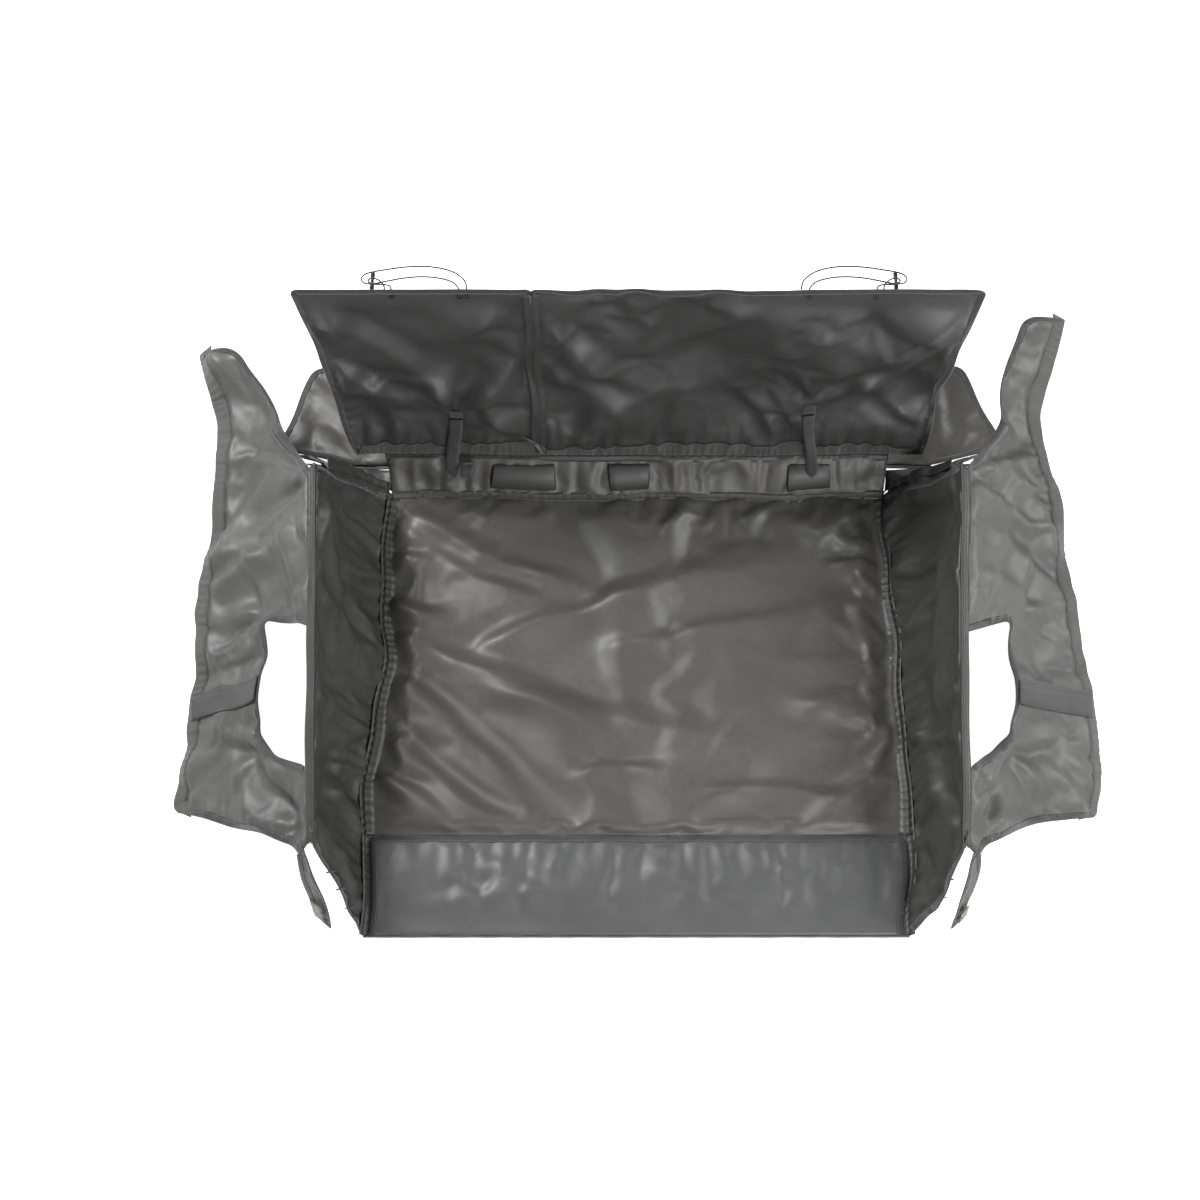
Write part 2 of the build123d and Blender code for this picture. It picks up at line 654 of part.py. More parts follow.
def cord_line():
    """Y and Z of the line that the cords turn about, behind the flap's top edge."""
    point = flap_plane().from_local_coords(Vector(0, CORD_LINE_V, -CORD_STANDOFF))
    return point.Y, point.Z


def cord_path(route, side, name):
    """Straight runs joined by arcs as large as the runs allow."""
    base_y, base_z = cord_line()
    sign = SIDES[side]
    points = [Vector(CORD_X[side] + sign * out, base_y + back, base_z + up) for out, back, up in route]
    radii = []
    for before, here, after in zip(points, points[1:], points[2:]):
        run_in = here - before
        run_out = after - here
        turn = radians(run_in.get_angle(run_out))
        radii.append(0.45 * min(run_in.length, run_out.length) / tan(turn / 2))
    print(name, side, "smallest radius", round(min(radii), 1), "of", [round(radius) for radius in radii])
    return FilletPolyline(*points, radius=radii)


def make_cord(route, side, name):
    """Round elastic cord along a route."""
    path = cord_path(route, side, name)
    section = Plane(origin=path @ 0, z_dir=path % 0) * Circle(CORD_D / 2)
    cord = sweep(section, path=path)
    expected = pi * (CORD_D / 2) ** 2 * path.length
    print(name, side, "length", round(path.length, 1), "volume ratio", round(cord.volume / expected, 4))
    return cord


def make_toggle(side):
    """Bar toggle with a narrow waist, lying front to back across the loops."""
    base_y, base_z = cord_line()
    x = CORD_X[side] + SIDES[side] * TOGGLE_REACH
    middle = TOGGLE_L / 2
    neck = TOGGLE_WAIST_HALF + TOGGLE_NECK
    end_r = TOGGLE_R * TOGGLE_END[0]
    end_l = TOGGLE_R * TOGGLE_END[1]
    profile = Polyline(
        (0, 0),
        (end_r, 0),
        (TOGGLE_R, end_l),
        (TOGGLE_R, middle - neck),
        (TOGGLE_WAIST_R, middle - TOGGLE_WAIST_HALF),
        (TOGGLE_WAIST_R, middle + TOGGLE_WAIST_HALF),
        (TOGGLE_R, middle + neck),
        (TOGGLE_R, TOGGLE_L - end_l),
        (end_r, TOGGLE_L),
        (0, TOGGLE_L),
        close=True,
    )
    bar = revolve(make_face(profile), axis=Axis.Y)
    return Pos(x, base_y + TOGGLE_BACK, base_z) * bar


# ---------------------------------------------------------------- build
def build_centre():
    """Floor, bumper flap, sill, keepers and apron."""
    save(make_floor(), "floor_panel")
    save(make_floor_seams(), "floor_seams")
    flap, binding = make_bumper()
    save(flap, "bumper_flap")
    save(binding, "bumper_binding")
    sill, back = make_sill()
    save(sill, "rear_sill")
    save(back, "rear_sill_back")
    save(make_keepers(), "tether_keepers")
    apron, apron_binding = make_apron()
    save(apron, "rear_apron")
    save(apron_binding, "apron_binding")


def build_sides():
    """Walls, ridges, wings, closures, corner tabs, ties and gussets, right and left."""
    wall, wall_binding = make_wall()
    plane, along, out = wing_plane()
    front, rear = ridge_ends()
    ridge_length = (rear - front).length
    rear_panel, front_panel, hem, binding, loop_tape = make_wing(plane)
    closure_tab, hook_tape = make_closure(plane)
    corner_tab, corner_binding, hook_patch = make_corner_tab(plane)
    pieces = {
        "wall": wall,
        "wall_binding": wall_binding,
        "ridge_tape": make_ridge_tape(plane, ridge_length),
        "wing_rear_panel": rear_panel,
        "wing_front_panel": front_panel,
        "wing_hem": hem,
        "wing_binding": binding,
        "loop_tape": loop_tape,
        "closure_tab": closure_tab,
        "hook_tape": hook_tape,
        "corner_tab": corner_tab,
        "corner_tab_binding": corner_binding,
        "corner_hook_patch": hook_patch,
        "corner_ties": make_ties(wall, wall_binding),
        "rear_gusset": make_gusset(),
    }
    for side in SIDES:
        for name, shape in pieces.items():
            save(for_side(shape, side), f"{name}_{side}")
    print("ridge", front, rear, "along", along, "out", out)
    print("corner tab hinge", corner_plane(plane).origin, corner_plane(plane).x_dir)


def build_back():
    """Both halves of the back flap, their straps, cords and toggles."""
    for side in SIDES:
        names = ("back_flap", "flap_binding", "flap_hem", "split_tape", "eyelets", "strap_patch")
        for name, shape in zip(names, make_flap(side)):
            save(shape, f"{name}_{side}")
        save(make_strap(side), f"webbing_strap_{side}")
        save(make_cord(LONG_LOOP, side, "long loop"), f"long_loop_{side}")
        save(make_cord(SHORT_LOOP, side, "short loop"), f"short_loop_{side}")
        save(make_toggle(side), f"toggle_{side}")
        print("strap hinge", side, strap_plane(side)[0].origin)
    save(make_strap_loop(), "strap_loop_left")
    print("cord line", cord_line(), "flap foot", FLAP_FOOT)


os.makedirs("parts", exist_ok=True)
build_centre()
build_sides()
build_back()
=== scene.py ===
"""Looks of the load-space liner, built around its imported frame.

Everything is in metres, in the frame's own axes: +Z up, +Y from the bumper end to the seat end.
Right-hand pieces are laid out first, and left-hand ones are their mirror images with folds of
their own, apart from the back flap, which is split off centre.
"""

import json
import logging
import math
from collections.abc import Callable, Sequence
from dataclasses import dataclass, field
from enum import Enum

import bpy
import numpy as np
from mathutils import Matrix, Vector, noise
from mathutils.geometry import delaunay_2d_cdt


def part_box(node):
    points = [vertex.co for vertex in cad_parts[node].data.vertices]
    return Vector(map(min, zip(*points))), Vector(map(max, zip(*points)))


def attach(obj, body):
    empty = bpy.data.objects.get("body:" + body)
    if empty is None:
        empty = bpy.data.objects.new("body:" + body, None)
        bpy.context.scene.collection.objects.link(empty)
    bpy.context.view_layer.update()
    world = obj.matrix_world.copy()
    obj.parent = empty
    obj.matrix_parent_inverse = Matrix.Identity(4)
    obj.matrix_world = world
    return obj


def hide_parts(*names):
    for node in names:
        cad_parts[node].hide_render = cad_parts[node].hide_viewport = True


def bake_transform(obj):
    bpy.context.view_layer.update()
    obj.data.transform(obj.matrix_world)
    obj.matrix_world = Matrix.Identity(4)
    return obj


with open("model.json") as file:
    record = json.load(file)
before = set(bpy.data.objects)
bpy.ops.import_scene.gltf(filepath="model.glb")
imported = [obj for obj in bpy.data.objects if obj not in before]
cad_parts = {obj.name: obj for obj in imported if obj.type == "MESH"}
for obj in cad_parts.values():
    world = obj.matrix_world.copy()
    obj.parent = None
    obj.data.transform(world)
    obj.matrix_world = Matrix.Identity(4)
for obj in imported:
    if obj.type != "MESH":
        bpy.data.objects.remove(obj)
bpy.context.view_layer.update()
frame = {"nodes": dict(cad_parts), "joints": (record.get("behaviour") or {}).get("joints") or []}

LOG = logging.getLogger("liner")
Piece, Socket = bpy.types.Object, bpy.types.NodeSocket
Tree, Material = bpy.types.NodeTree, bpy.types.Material
Array = np.ndarray
Body = str | tuple[str, str]                    # one body, or the two that a piece joins
Span = tuple[Sequence[float], Sequence[float]]  # where a piece between two bodies starts and ends its turn
WALL_LEAN = math.radians(18)
SIM_FRAMES = 34
CLOTH = 0.0012            # cloth thickness
FLOOR_CLEAR = 0.0012      # lowest that cloth lies
SIDEWAYS = 0.006          # furthest that cloth may slide along its panel
LANDING = 0.0015          # how softly a fold meets what it lies on
EDGE_FADE = 0.012         # folds fade within this of an outline
STITCH_CROWN = 0.0003     # height of a stitch's middle
MM = 0.001
CLOTH_RULES = {
    "quality": 5, "mass": 0.2, "tension_stiffness": 18, "compression_stiffness": 18, "shear_stiffness": 6,
    "air_damping": 1.5,
}


# ---------------------------------------------------------------- places
class Side(Enum):
    """The two sides of the liner."""

    RIGHT = 1
    LEFT = -1

    @property
    def word(self) -> str:
        """The side's name as it ends a node's name."""
        return self.name.lower()

    def turn(self, point: Sequence[float]) -> Array:
        """A right-hand point or direction, mirrored on the left."""
        return np.array(point, float) * (self.value, 1, 1)


def unit(vector: Sequence[float]) -> Array:
    """The vector at length one."""
    vector = np.array(vector, float)
    return vector / np.linalg.norm(vector)


def middle(node: str) -> Array:
    """The middle of a CAD node's box."""
    low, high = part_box(node)
    return np.array([(low.x + high.x) / 2, (low.y + high.y) / 2, (low.z + high.z) / 2])


def joint(name: str) -> dict:
    """The frame's joint of that name."""
    return next(row for row in frame["joints"] if row["name"] == name)


@dataclass(frozen=True)
class Place:
    """A flat panel's own axes: along, across, and up out of its visible face."""

    origin: Array
    x: Array
    y: Array
    z: Array

    @classmethod
    def make(cls, origin: Sequence[float], x: Sequence[float], y: Sequence[float],
             up: Sequence[float]) -> "Place":
        """A place whose third axis points to the same side as a given direction."""
        x, y = unit(x), unit(y)
        z = np.cross(x, y)
        return cls(np.array(origin, float), x, y, z if np.dot(z, up) > 0 else -z)

    @classmethod
    def level(cls, origin: Sequence[float]) -> "Place":
        """A place that lies level, along X and Y."""
        return cls.make(origin, (1, 0, 0), (0, 1, 0), (0, 0, 1))

    def world(self, flat: Array, height: Array) -> Array:
        """World points of flat coordinates raised by heights."""
        return self.origin + flat[:, :1] * self.x + flat[:, 1:2] * self.y + height[:, None] * self.z

    def at(self, u: float, v: float, h: float = 0.0) -> Array:
        """World point of one flat coordinate."""
        return self.origin + u * self.x + v * self.y + h * self.z

    def local(self, points: Array) -> Array:
        """Flat coordinates and heights of world points."""
        return (points - self.origin) @ np.stack([self.x, self.y, self.z]).T

    def on(self, side: Side) -> "Place":
        """The same place on a side of the liner."""
        return Place(side.turn(self.origin), side.turn(self.x), side.turn(self.y), side.turn(self.z))


def smooth(low: float, high: float, value: Array) -> Array:
    """A smooth step from 0 at low to 1 at high."""
    t = np.clip((value - low) / (high - low), 0.0, 1.0)
    return t * t * (3 - 2 * t)


def perlin(points: Array, scale: float, seed: float) -> Array:
    """Smooth noise from -1 to 1 at world or flat points, with features about scale long."""
    flat = np.zeros((len(points), 3))
    flat[:, : points.shape[1]] = points
    return np.array([noise.noise(Vector(p / scale + seed * 7.31)) for p in flat])


def stretch(flat: Array, along: float, across: float) -> Array:
    """Flat points scaled by a share along and a share across."""
    return flat * (along, across)


# ---------------------------------------------------------------- folds
@dataclass(frozen=True)
class Crease:
    """One fold in a panel, a rounded ridge from one flat point to another."""

    start: tuple[float, float]
    end: tuple[float, float]
    width: float
    height: float
    bow: float = 0.0

    def lift(self, flat: Array) -> Array:
        """Height that the fold adds at each flat point."""
        a, b = np.array(self.start), np.array(self.end)
        run = b - a
        length = np.linalg.norm(run)
        along = (flat - a) @ run / length**2
        across = (flat - a) @ np.array([-run[1], run[0]]) / length
        across = across - self.bow * 4 * np.clip(along, 0, 1) * (1 - np.clip(along, 0, 1))
        taper = smooth(-0.06, 0.25, along) * (1 - smooth(0.6, 1.1, along))
        wide = self.width * (0.7 + 0.8 * np.clip(along, 0, 1))
        slope = np.where(across < 0, 2.4 * wide, wide)
        trough = 0.3 * np.exp(-(((across - 2.1 * wide) / wide) ** 2))
        ridge = np.exp(-(np.abs(across / slope) ** 1.5)) - trough
        return self.height * ridge * taper


def fans(
    centre: tuple[float, float], reach: tuple[float, float], angles: Sequence[float], width: float,
    height: float
) -> list[Crease]:
    """Folds that spread from one point, as cloth does where it is pulled or pinned.

    Args:
        centre: flat point that they spread from.
        reach: distances at which each fold starts and ends.
        angles: direction of each fold in degrees.
        width: half-width of a fold.
        height: height of the largest fold.

    Returns:
        The folds, alternately higher and lower.
    """
    folds = []
    for number, angle in enumerate(angles):
        way = np.array([math.cos(math.radians(angle)), math.sin(math.radians(angle))])
        far = reach[1] * (0.7 + 0.3 * math.cos(2.3 * number))
        start, end = way * reach[0] + centre, way * far + centre
        share = 1.0 if number % 2 == 0 else -0.7
        folds.append(Crease(tuple(start), tuple(end), width * (0.8 + 0.25 * math.sin(1.7 * number)),
                            height * share))
    return folds


# ---------------------------------------------------------------- mesh helpers
def new_object(
    name: str, points: Array, faces: Sequence[Sequence[int]], flat: Array | None = None
) -> Piece:
    """A smooth-shaded mesh object, with flat coordinates in metres as its UV map."""
    mesh = bpy.data.meshes.new(name)
    mesh.from_pydata([tuple(p) for p in points], [], [tuple(f) for f in faces])
    mesh.validate()
    if flat is not None:
        layer = mesh.uv_layers.new(name="flat")
        order = np.zeros(len(mesh.loops), int)
        mesh.loops.foreach_get("vertex_index", order)
        layer.data.foreach_set("uv", flat[order, :2].astype(np.float32).ravel())
    mesh.shade_smooth()
    obj = bpy.data.objects.new(name, mesh)
    bpy.context.scene.collection.objects.link(obj)
    return obj


def points_of(mesh: bpy.types.Mesh) -> Array:
    """A mesh's vertices as rows."""
    data = np.zeros(len(mesh.vertices) * 3, np.float32)
    mesh.vertices.foreach_get("co", data)
    return data.reshape(-1, 3).astype(float)


def set_points(mesh: bpy.types.Mesh, points: Array) -> None:
    """Move a mesh's vertices."""
    mesh.vertices.foreach_set("co", points.astype(np.float32).ravel())
    mesh.update()


def normals_of(mesh: bpy.types.Mesh) -> Array:
    """A mesh's vertex normals as rows."""
    data = np.zeros(len(mesh.vertices) * 3, np.float32)
    mesh.vertex_normals.foreach_get("vector", data)
    return data.reshape(-1, 3).astype(float)


def thicken(obj: Piece, thickness: float) -> None:
    """Give a sheet its thickness, half on each face."""
    solid = obj.modifiers.new("thickness", "SOLIDIFY")
    solid.thickness = thickness
    solid.offset = 0.0


def skin(
    name: str, rings: Array, flat: Array, closed: bool = True, caps: bool = True
) -> Piece:
    """A surface through rings of points.

    Args:
        name: object name.
        rings: array of rings, points in a ring, and coordinates.
        flat: UV of each point, in metres, in the same order.
        closed: whether each ring closes on itself.
        caps: whether the two ends are closed.

    Returns:
        The new object.
    """
    count, size = rings.shape[:2]
    faces: list[list[int]] = []
    last = size if closed else size - 1
    for i in range(count - 1):
        for k in range(last):
            a, b = i * size + k, i * size + (k + 1) % size
            faces.append([a, b, b + size, a + size])
    if closed and caps:
        faces.append(list(range(size))[::-1])
        faces.append(list(range((count - 1) * size, count * size)))
    return new_object(name, rings.reshape(-1, 3), faces, flat.reshape(-1, 2))


def resample(points: Array, step: float) -> tuple[Array, Array]:
    """Even samples along a line of points, as positions in it and distances along it."""
    gaps = np.linalg.norm(np.diff(points, axis=0), axis=1)
    run = np.concatenate([[0], np.cumsum(gaps)])
    marks = np.linspace(0, run[-1], max(2, int(run[-1] / step) + 1))
    return np.interp(marks, run, np.arange(len(points))), marks


def sampled(rows: Array, where: Array) -> Array:
    """Rows of values read at fractional positions."""
    index = np.arange(len(rows))
    return np.stack([np.interp(where, index, rows[:, k]) for k in range(rows.shape[1])], axis=1)


def eased(points: Array, step: float) -> Array:
    """A smooth curve through a few points, sampled about every step."""
    points = np.array(points, float)
    ends = np.vstack([2 * points[0] - points[1], points, 2 * points[-1] - points[-2]])
    out = []
    for i in range(1, len(ends) - 2):
        p0, p1, p2, p3 = ends[i - 1 : i + 3]
        count = max(2, int(np.linalg.norm(p2 - p1) / step))
        for t in np.arange(count) / count:
            square, cube = 2 * p0 - 5 * p1 + 4 * p2 - p3, 3 * p1 - p0 - 3 * p2 + p3
            out.append(0.5 * (2 * p1 + (p2 - p0) * t + square * t**2 + cube * t**3))
    out.append(points[-1])
    return np.array(out)


# ---------------------------------------------------------------- outlines
@dataclass(frozen=True)
class Corner:
    """An outline's corner, and how far its rounding reaches along the shorter of its two edges."""

    u: float
    v: float
    soft: float = 0.06


def outline(*spots: tuple[float, ...]) -> list[Corner]:
    """An outline's corners, from rows of their places and softness."""
    return [Corner(*spot) for spot in spots]


class Trim(Enum):
    """What finishes an edge of a panel."""

    SEAM = 0.0
    BINDING = 0.012
    HEM = 0.026
    WIDE_HEM = 0.030


def trimmed(bound: Sequence[int], hemmed: Sequence[int] = ()) -> dict[int, Trim]:
    """The trims of a panel whose edges of these numbers are bound or hemmed."""
    return {**dict.fromkeys(bound, Trim.BINDING), **dict.fromkeys(hemmed, Trim.HEM)}


def trace(corners: Sequence[Corner], step: float) -> tuple[Array, Array]:
    """A rounded outline as points about a step apart, with the edge that starts at each point."""
    count = len(corners)
    spots = [np.array([c.u, c.v]) for c in corners]
    points: list[Array] = []
    edges: list[int] = []
    cuts = []
    for i, corner in enumerate(corners):
        before, here, after = spots[i - 1], spots[i], spots[(i + 1) % count]
        reach = corner.soft * min(np.linalg.norm(before - here), np.linalg.norm(after - here))
        cuts.append((here + unit(before - here) * reach, here, here + unit(after - here) * reach, reach))
    for i in range(count):
        start, here, end, reach = cuts[i]
        bend = max(2, int(2 * reach / step) + 2) if reach > 0.001 else 1
        for t in np.arange(bend) / bend if bend > 1 else [0.0]:
            points.append(start * (1 - t) ** 2 + 2 * here * t * (1 - t) + end * t**2)
            edges.append((i - 1) % count if t < 0.5 and bend > 1 else i)
        nxt = cuts[(i + 1) % count][0]
        pieces = max(1, int(round(np.linalg.norm(nxt - end) / step)))
        for t in np.arange(0 if bend > 1 else 1, pieces) / pieces:
            points.append(end + (nxt - end) * t)
            edges.append(i)
    return np.array(points), np.array(edges)


def inset(points: Array, widths: Array) -> Array:
    """Each outline point moved inward by its trim's width, with mitred corners."""
    ahead = np.roll(points, -1, axis=0) - points
    ahead /= np.linalg.norm(ahead, axis=1)[:, None]
    inward = np.stack([-ahead[:, 1], ahead[:, 0]], axis=1)
    result = points.copy()
    for i in range(len(points)):
        before, after = inward[i - 1], inward[i]
        w0, w1 = widths[i - 1], widths[i]
        matrix = np.array([before, after])
        if abs(np.linalg.det(matrix)) > 0.25:
            result[i] = points[i] + np.linalg.solve(matrix, [w0, w1])
        else:
            result[i] = points[i] + unit(before + after) * max(w0, w1)
    return result


def contains(outline: Array, points: Array) -> Array:
    """Which points lie inside an outline."""
    inside = np.zeros(len(points), bool)
    for a, b in zip(outline, np.roll(outline, -1, axis=0)):
        if a[1] == b[1]:
            continue
        crosses = (a[1] > points[:, 1]) != (b[1] > points[:, 1])
        where = a[0] + (points[:, 1] - a[1]) * (b[0] - a[0]) / (b[1] - a[1])
        inside ^= crosses & (points[:, 0] < where)
    return inside


def edge_distance(outline: Array, points: Array) -> Array:
    """Distance from each point to the nearest place on an outline."""
    best = np.full(len(points), 9.0)
    for a, b in zip(outline, np.roll(outline, -1, axis=0)):
        run = b - a
        t = np.clip((points - a) @ run / max(run @ run, 1e-12), 0, 1)
        best = np.minimum(best, np.linalg.norm(points - a - t[:, None] * run, axis=1))
    return best


# ---------------------------------------------------------------- cloth panels
@dataclass
class Panel:
    """A flat-cut panel of cloth with its own folds, hems and bindings."""

    name: str
    place: Place
    corners: Sequence[Corner]
    trims: dict[int, Trim] = field(default_factory=dict)
    spacing: float = 0.009
    seed: float = 1.0
    growth: float = 0.02                       # extra cloth where the growth share is full
    share: Callable[[Array], Array] | None = None      # growth share at flat points
    rise: Callable[[Array], Array] | None = None       # rest height at flat points
    limit: float = 0.014                       # furthest that a simulated fold may stand
    grounded: bool = False                     # lies on something, so folds only rise
    creases: Sequence[Crease] = ()
    damp: Callable[[Array], Array] | None = None       # share of folds kept at flat points
    tack: Callable[[Array], Array] | None = None       # where the cloth is held by other seams
    bending: float = 0.35

    def __post_init__(self) -> None:
        """Lay out the outline, its trim lines and the mesh."""
        self.loop, self.edge_of = trace(self.corners, self.spacing)
        self.widths = np.array([self.trims.get(e, Trim.SEAM).value for e in self.edge_of])
        self.inner = inset(self.loop, self.widths)
        self.build()

    def build(self) -> None:
        """Triangulate the panel, with a row of points along every trim's inner line."""
        total = len(self.loop)
        bound = (self.widths > 0) | (np.roll(self.widths, 1) > 0)
        inner_ids = {i: total + k for k, i in enumerate(np.flatnonzero(bound))}
        rows = [self.loop] + ([self.inner[bound]] if bound.any() else [])
        links = [(i, (i + 1) % total) for i in range(total)]
        for i in range(total):
            nxt = (i + 1) % total
            if self.widths[i] > 0:
                links.append((inner_ids[i], inner_ids[nxt]))
        low, high = self.loop.min(0), self.loop.max(0)
        h = self.spacing
        rise = h * math.sqrt(3) / 2
        grid = []
        for row in range(int((high[1] - low[1]) / rise) + 1):
            shift = 0.5 * h * (row % 2)
            xs = np.arange(low[0] + shift, high[0], h)
            grid.append(np.stack([xs, np.full(len(xs), low[1] + row * rise)], axis=1))
        inside = np.vstack(grid)
        inside = inside[contains(self.loop, inside)]
        inside = inside[edge_distance(self.loop, inside) > 0.55 * h]
        for trim in set(self.trims.values()):
            here = self.widths == trim.value
            if trim.value > 0 and here.any():
                line = [self.loop[[i, (i + 1) % total]] for i in np.flatnonzero(here)]
                near = np.full(len(inside), 9.0)
                for a, b in line:
                    run = b - a
                    t = np.clip((inside - a) @ run / (run @ run), 0, 1)
                    near = np.minimum(near, np.linalg.norm(inside - a - t[:, None] * run, axis=1))
                inside = inside[near > trim.value + 0.5 * h]
        rows.append(inside)
        flat = np.vstack(rows)
        result = delaunay_2d_cdt([Vector(p) for p in flat], links, [], 1, 1e-6)
        self.flat = np.array([tuple(p) for p in result[0]])
        self.faces = [list(f) for f in result[2]]
        back = {old: new for new, olds in enumerate(result[3]) for old in olds}
        self.outer_at = np.array([back[i] for i in range(total)])
        self.inner_at = np.array([back.get(inner_ids.get(i, -1), back[i]) for i in range(total)])
        self.base = self.rise(self.flat) if self.rise else np.zeros(len(self.flat))
        seedling = 0.0012 * perlin(self.flat, 0.055,
                                   self.seed) + 0.0035 * perlin(self.flat, 0.15, self.seed + 3)
        pinned = self.pins()
        start = self.base + seedling * (1 - pinned)
        self.obj = new_object(self.name, self.place.world(self.flat, start), self.faces, self.flat)
        self.area = sum(self.face_area(f) for f in self.faces)

    def face_area(self, face: Sequence[int]) -> float:
        """Flat area of one face."""
        p = self.flat[face]
        q = np.roll(p, -1, axis=0)
        return abs(float(np.sum(p[:, 0] * q[:, 1] - p[:, 1] * q[:, 0]))) / 2

    def pins(self) -> Array:
        """Share by which each vertex is held: the edges fully, trims and tacked places too."""
        held = np.zeros(len(self.flat))
        held[self.outer_at] = 1.0
        if self.tack:
            held = np.maximum(held, self.tack(self.flat))
        return held

    def prepare(self) -> None:
        """Add the cloth simulation, in which the cloth has more area than its frame."""
        group = self.obj.vertex_groups.new(name="held")
        for index, weight in enumerate(self.pins()):
            if weight > 0:
                group.add([index], float(weight), "REPLACE")
        calm = self.obj.vertex_groups.new(name="calm")
        share = self.share(self.flat) if self.share else np.ones(len(self.flat))
        for index, weight in enumerate(1 - np.clip(share, 0, 1)):
            calm.add([index], float(weight), "REPLACE")
        cloth = self.obj.modifiers.new("cloth", "CLOTH")
        rules = cloth.settings
        for key, value in CLOTH_RULES.items():
            setattr(rules, key, value)
        rules.bending_stiffness = self.bending
        rules.vertex_group_mass = "held"
        rules.vertex_group_shrink = "calm"
        rules.shrink_min = -self.growth
        rules.shrink_max = 0.0
        rules.effector_weights.gravity = 0.0
        cloth.collision_settings.use_collision = False
        cloth.collision_settings.use_self_collision = False
        cloth.point_cache.frame_start = 1
        cloth.point_cache.frame_end = SIM_FRAMES

    def settle(self) -> None:
        """Keep the simulated shape, within its limits, and add the listed folds."""
        if any(m.type == "CLOTH" for m in self.obj.modifiers):
            graph = bpy.context.evaluated_depsgraph_get()
            points = points_of(self.obj.evaluated_get(graph).to_mesh())
            self.obj.evaluated_get(graph).to_mesh_clear()
            self.obj.modifiers.clear()
        else:
            points = points_of(self.obj.data)
        local = self.place.local(points)
        wave = local[:, 2] - self.base
        wave = self.limit * np.tanh(wave / self.limit)
        for crease in self.creases:
            wave = wave + crease.lift(self.flat)
        if self.grounded:
            wave = LANDING * np.logaddexp(0, (wave + self.base) / LANDING) - self.base
        if self.damp:
            wave = wave * self.damp(self.flat)
        edge = np.clip(edge_distance(self.loop, self.flat) / EDGE_FADE, 0, 1) if self.creases else 1.0
        moved = self.flat + np.clip(local[:, :2] - self.flat, -SIDEWAYS, SIDEWAYS)
        points = self.place.world(moved, self.base + wave * edge)
        points[:, 2] = np.maximum(points[:, 2], FLOOR_CLEAR)
        set_points(self.obj.data, points)
        facing = normals_of(self.obj.data) @ self.place.z
        if np.mean(facing) < 0:
            self.obj.data.flip_normals()
        self.points = points
        self.normals = normals_of(self.obj.data)

    def chains(self) -> list[tuple[Trim, list[int]]]:
        """Runs of outline points that share one trim, in order."""
        total = len(self.loop)
        starts = [i for i in range(total) if self.widths[i] > 0 and self.widths[i - 1] != self.widths[i]]
        if not starts and (self.widths > 0).all():
            starts = [0]
        found = []
        for start in starts:
            run = [start]
            while self.widths[run[-1]] == self.widths[start] and len(run) <= total:
                run.append((run[-1] + 1) % total)
            found.append((Trim(self.widths[start]), run))
        return found

    def strips(self, wanted: Trim) -> list[tuple[Array, Array, Array, Array]]:
        """Outer line, inner line and their normals for each run of one trim."""
        rows = []
        for trim, run in self.chains():
            if trim is wanted:
                outer, inner = self.outer_at[run], self.inner_at[run]
                rows.append((self.points[outer], self.points[inner], self.normals[outer],
                             self.normals[inner]))
        return rows

    def open_hems(self) -> None:
        """Take the cloth out from inside the hems, whose own folds show there."""
        inside = set()
        for trim, run in self.chains():
            if trim in (Trim.HEM, Trim.WIDE_HEM):
                inside |= {frozenset((int(self.outer_at[a]), int(self.outer_at[b]))) for a,
                           b in zip(run, run[1:])}
                inside |= {frozenset((int(self.outer_at[a]), int(self.inner_at[a]))) for a in run}
        keep = []
        for face in self.faces:
            sides = {frozenset((face[k], face[(k + 1) % len(face)])) for k in range(len(face))}
            if not sides & inside:
                keep.append(face)
        used = sorted({i for face in keep for i in face})
        if len(keep) == len(self.faces) or not used:
            return
        fresh = {old: new for new, old in enumerate(used)}
        old = self.obj
        self.obj = new_object(self.name, self.points[used], [[fresh[i] for i in f] for f in keep],
                              self.flat[used])
        bpy.data.objects.remove(old)
        self.obj.name = self.name
        if np.mean(normals_of(self.obj.data) @ self.place.z) < 0:
            self.obj.data.flip_normals()


class Assembly:
    """A sub-assembly of the liner, whose cloth panels settle with all the others."""

    def panels(self) -> list[Panel]:
        """Its panels, in the order in which they were laid out."""
        return [value for value in vars(self).values() if isinstance(value, Panel)]


def simulate(panels: Sequence[Panel]) -> None:
    """Run the cloth simulation of all the panels together, then keep each one's shape."""
    for panel in panels:
        panel.prepare()
    scene = bpy.context.scene
    scene.frame_start, scene.frame_end = 1, SIM_FRAMES
    for number in range(1, SIM_FRAMES + 1):
        scene.frame_set(number)
    for panel in panels:
        panel.settle()
    bpy.context.scene.frame_set(1)


@dataclass(frozen=True)
class Ruffle:
    """The gathers of a hem: their pitch, height and unevenness."""

    pitch: float = 0.014
    height: float = 0.0016
    seed: float = 0.0

    def lift(self, run: Array) -> Array:
        """Height of the gathers at distances along the hem."""
        wander = np.array([noise.noise(Vector((s / 0.05, self.seed, 0.3))) for s in run])
        strength = np.array([noise.noise(Vector((s / 0.09, self.seed, 4.7))) for s in run])
        return self.height * (0.65 + 0.7 * strength) * np.sin(2 * math.pi * run / self.pitch + 3.2 * wander)


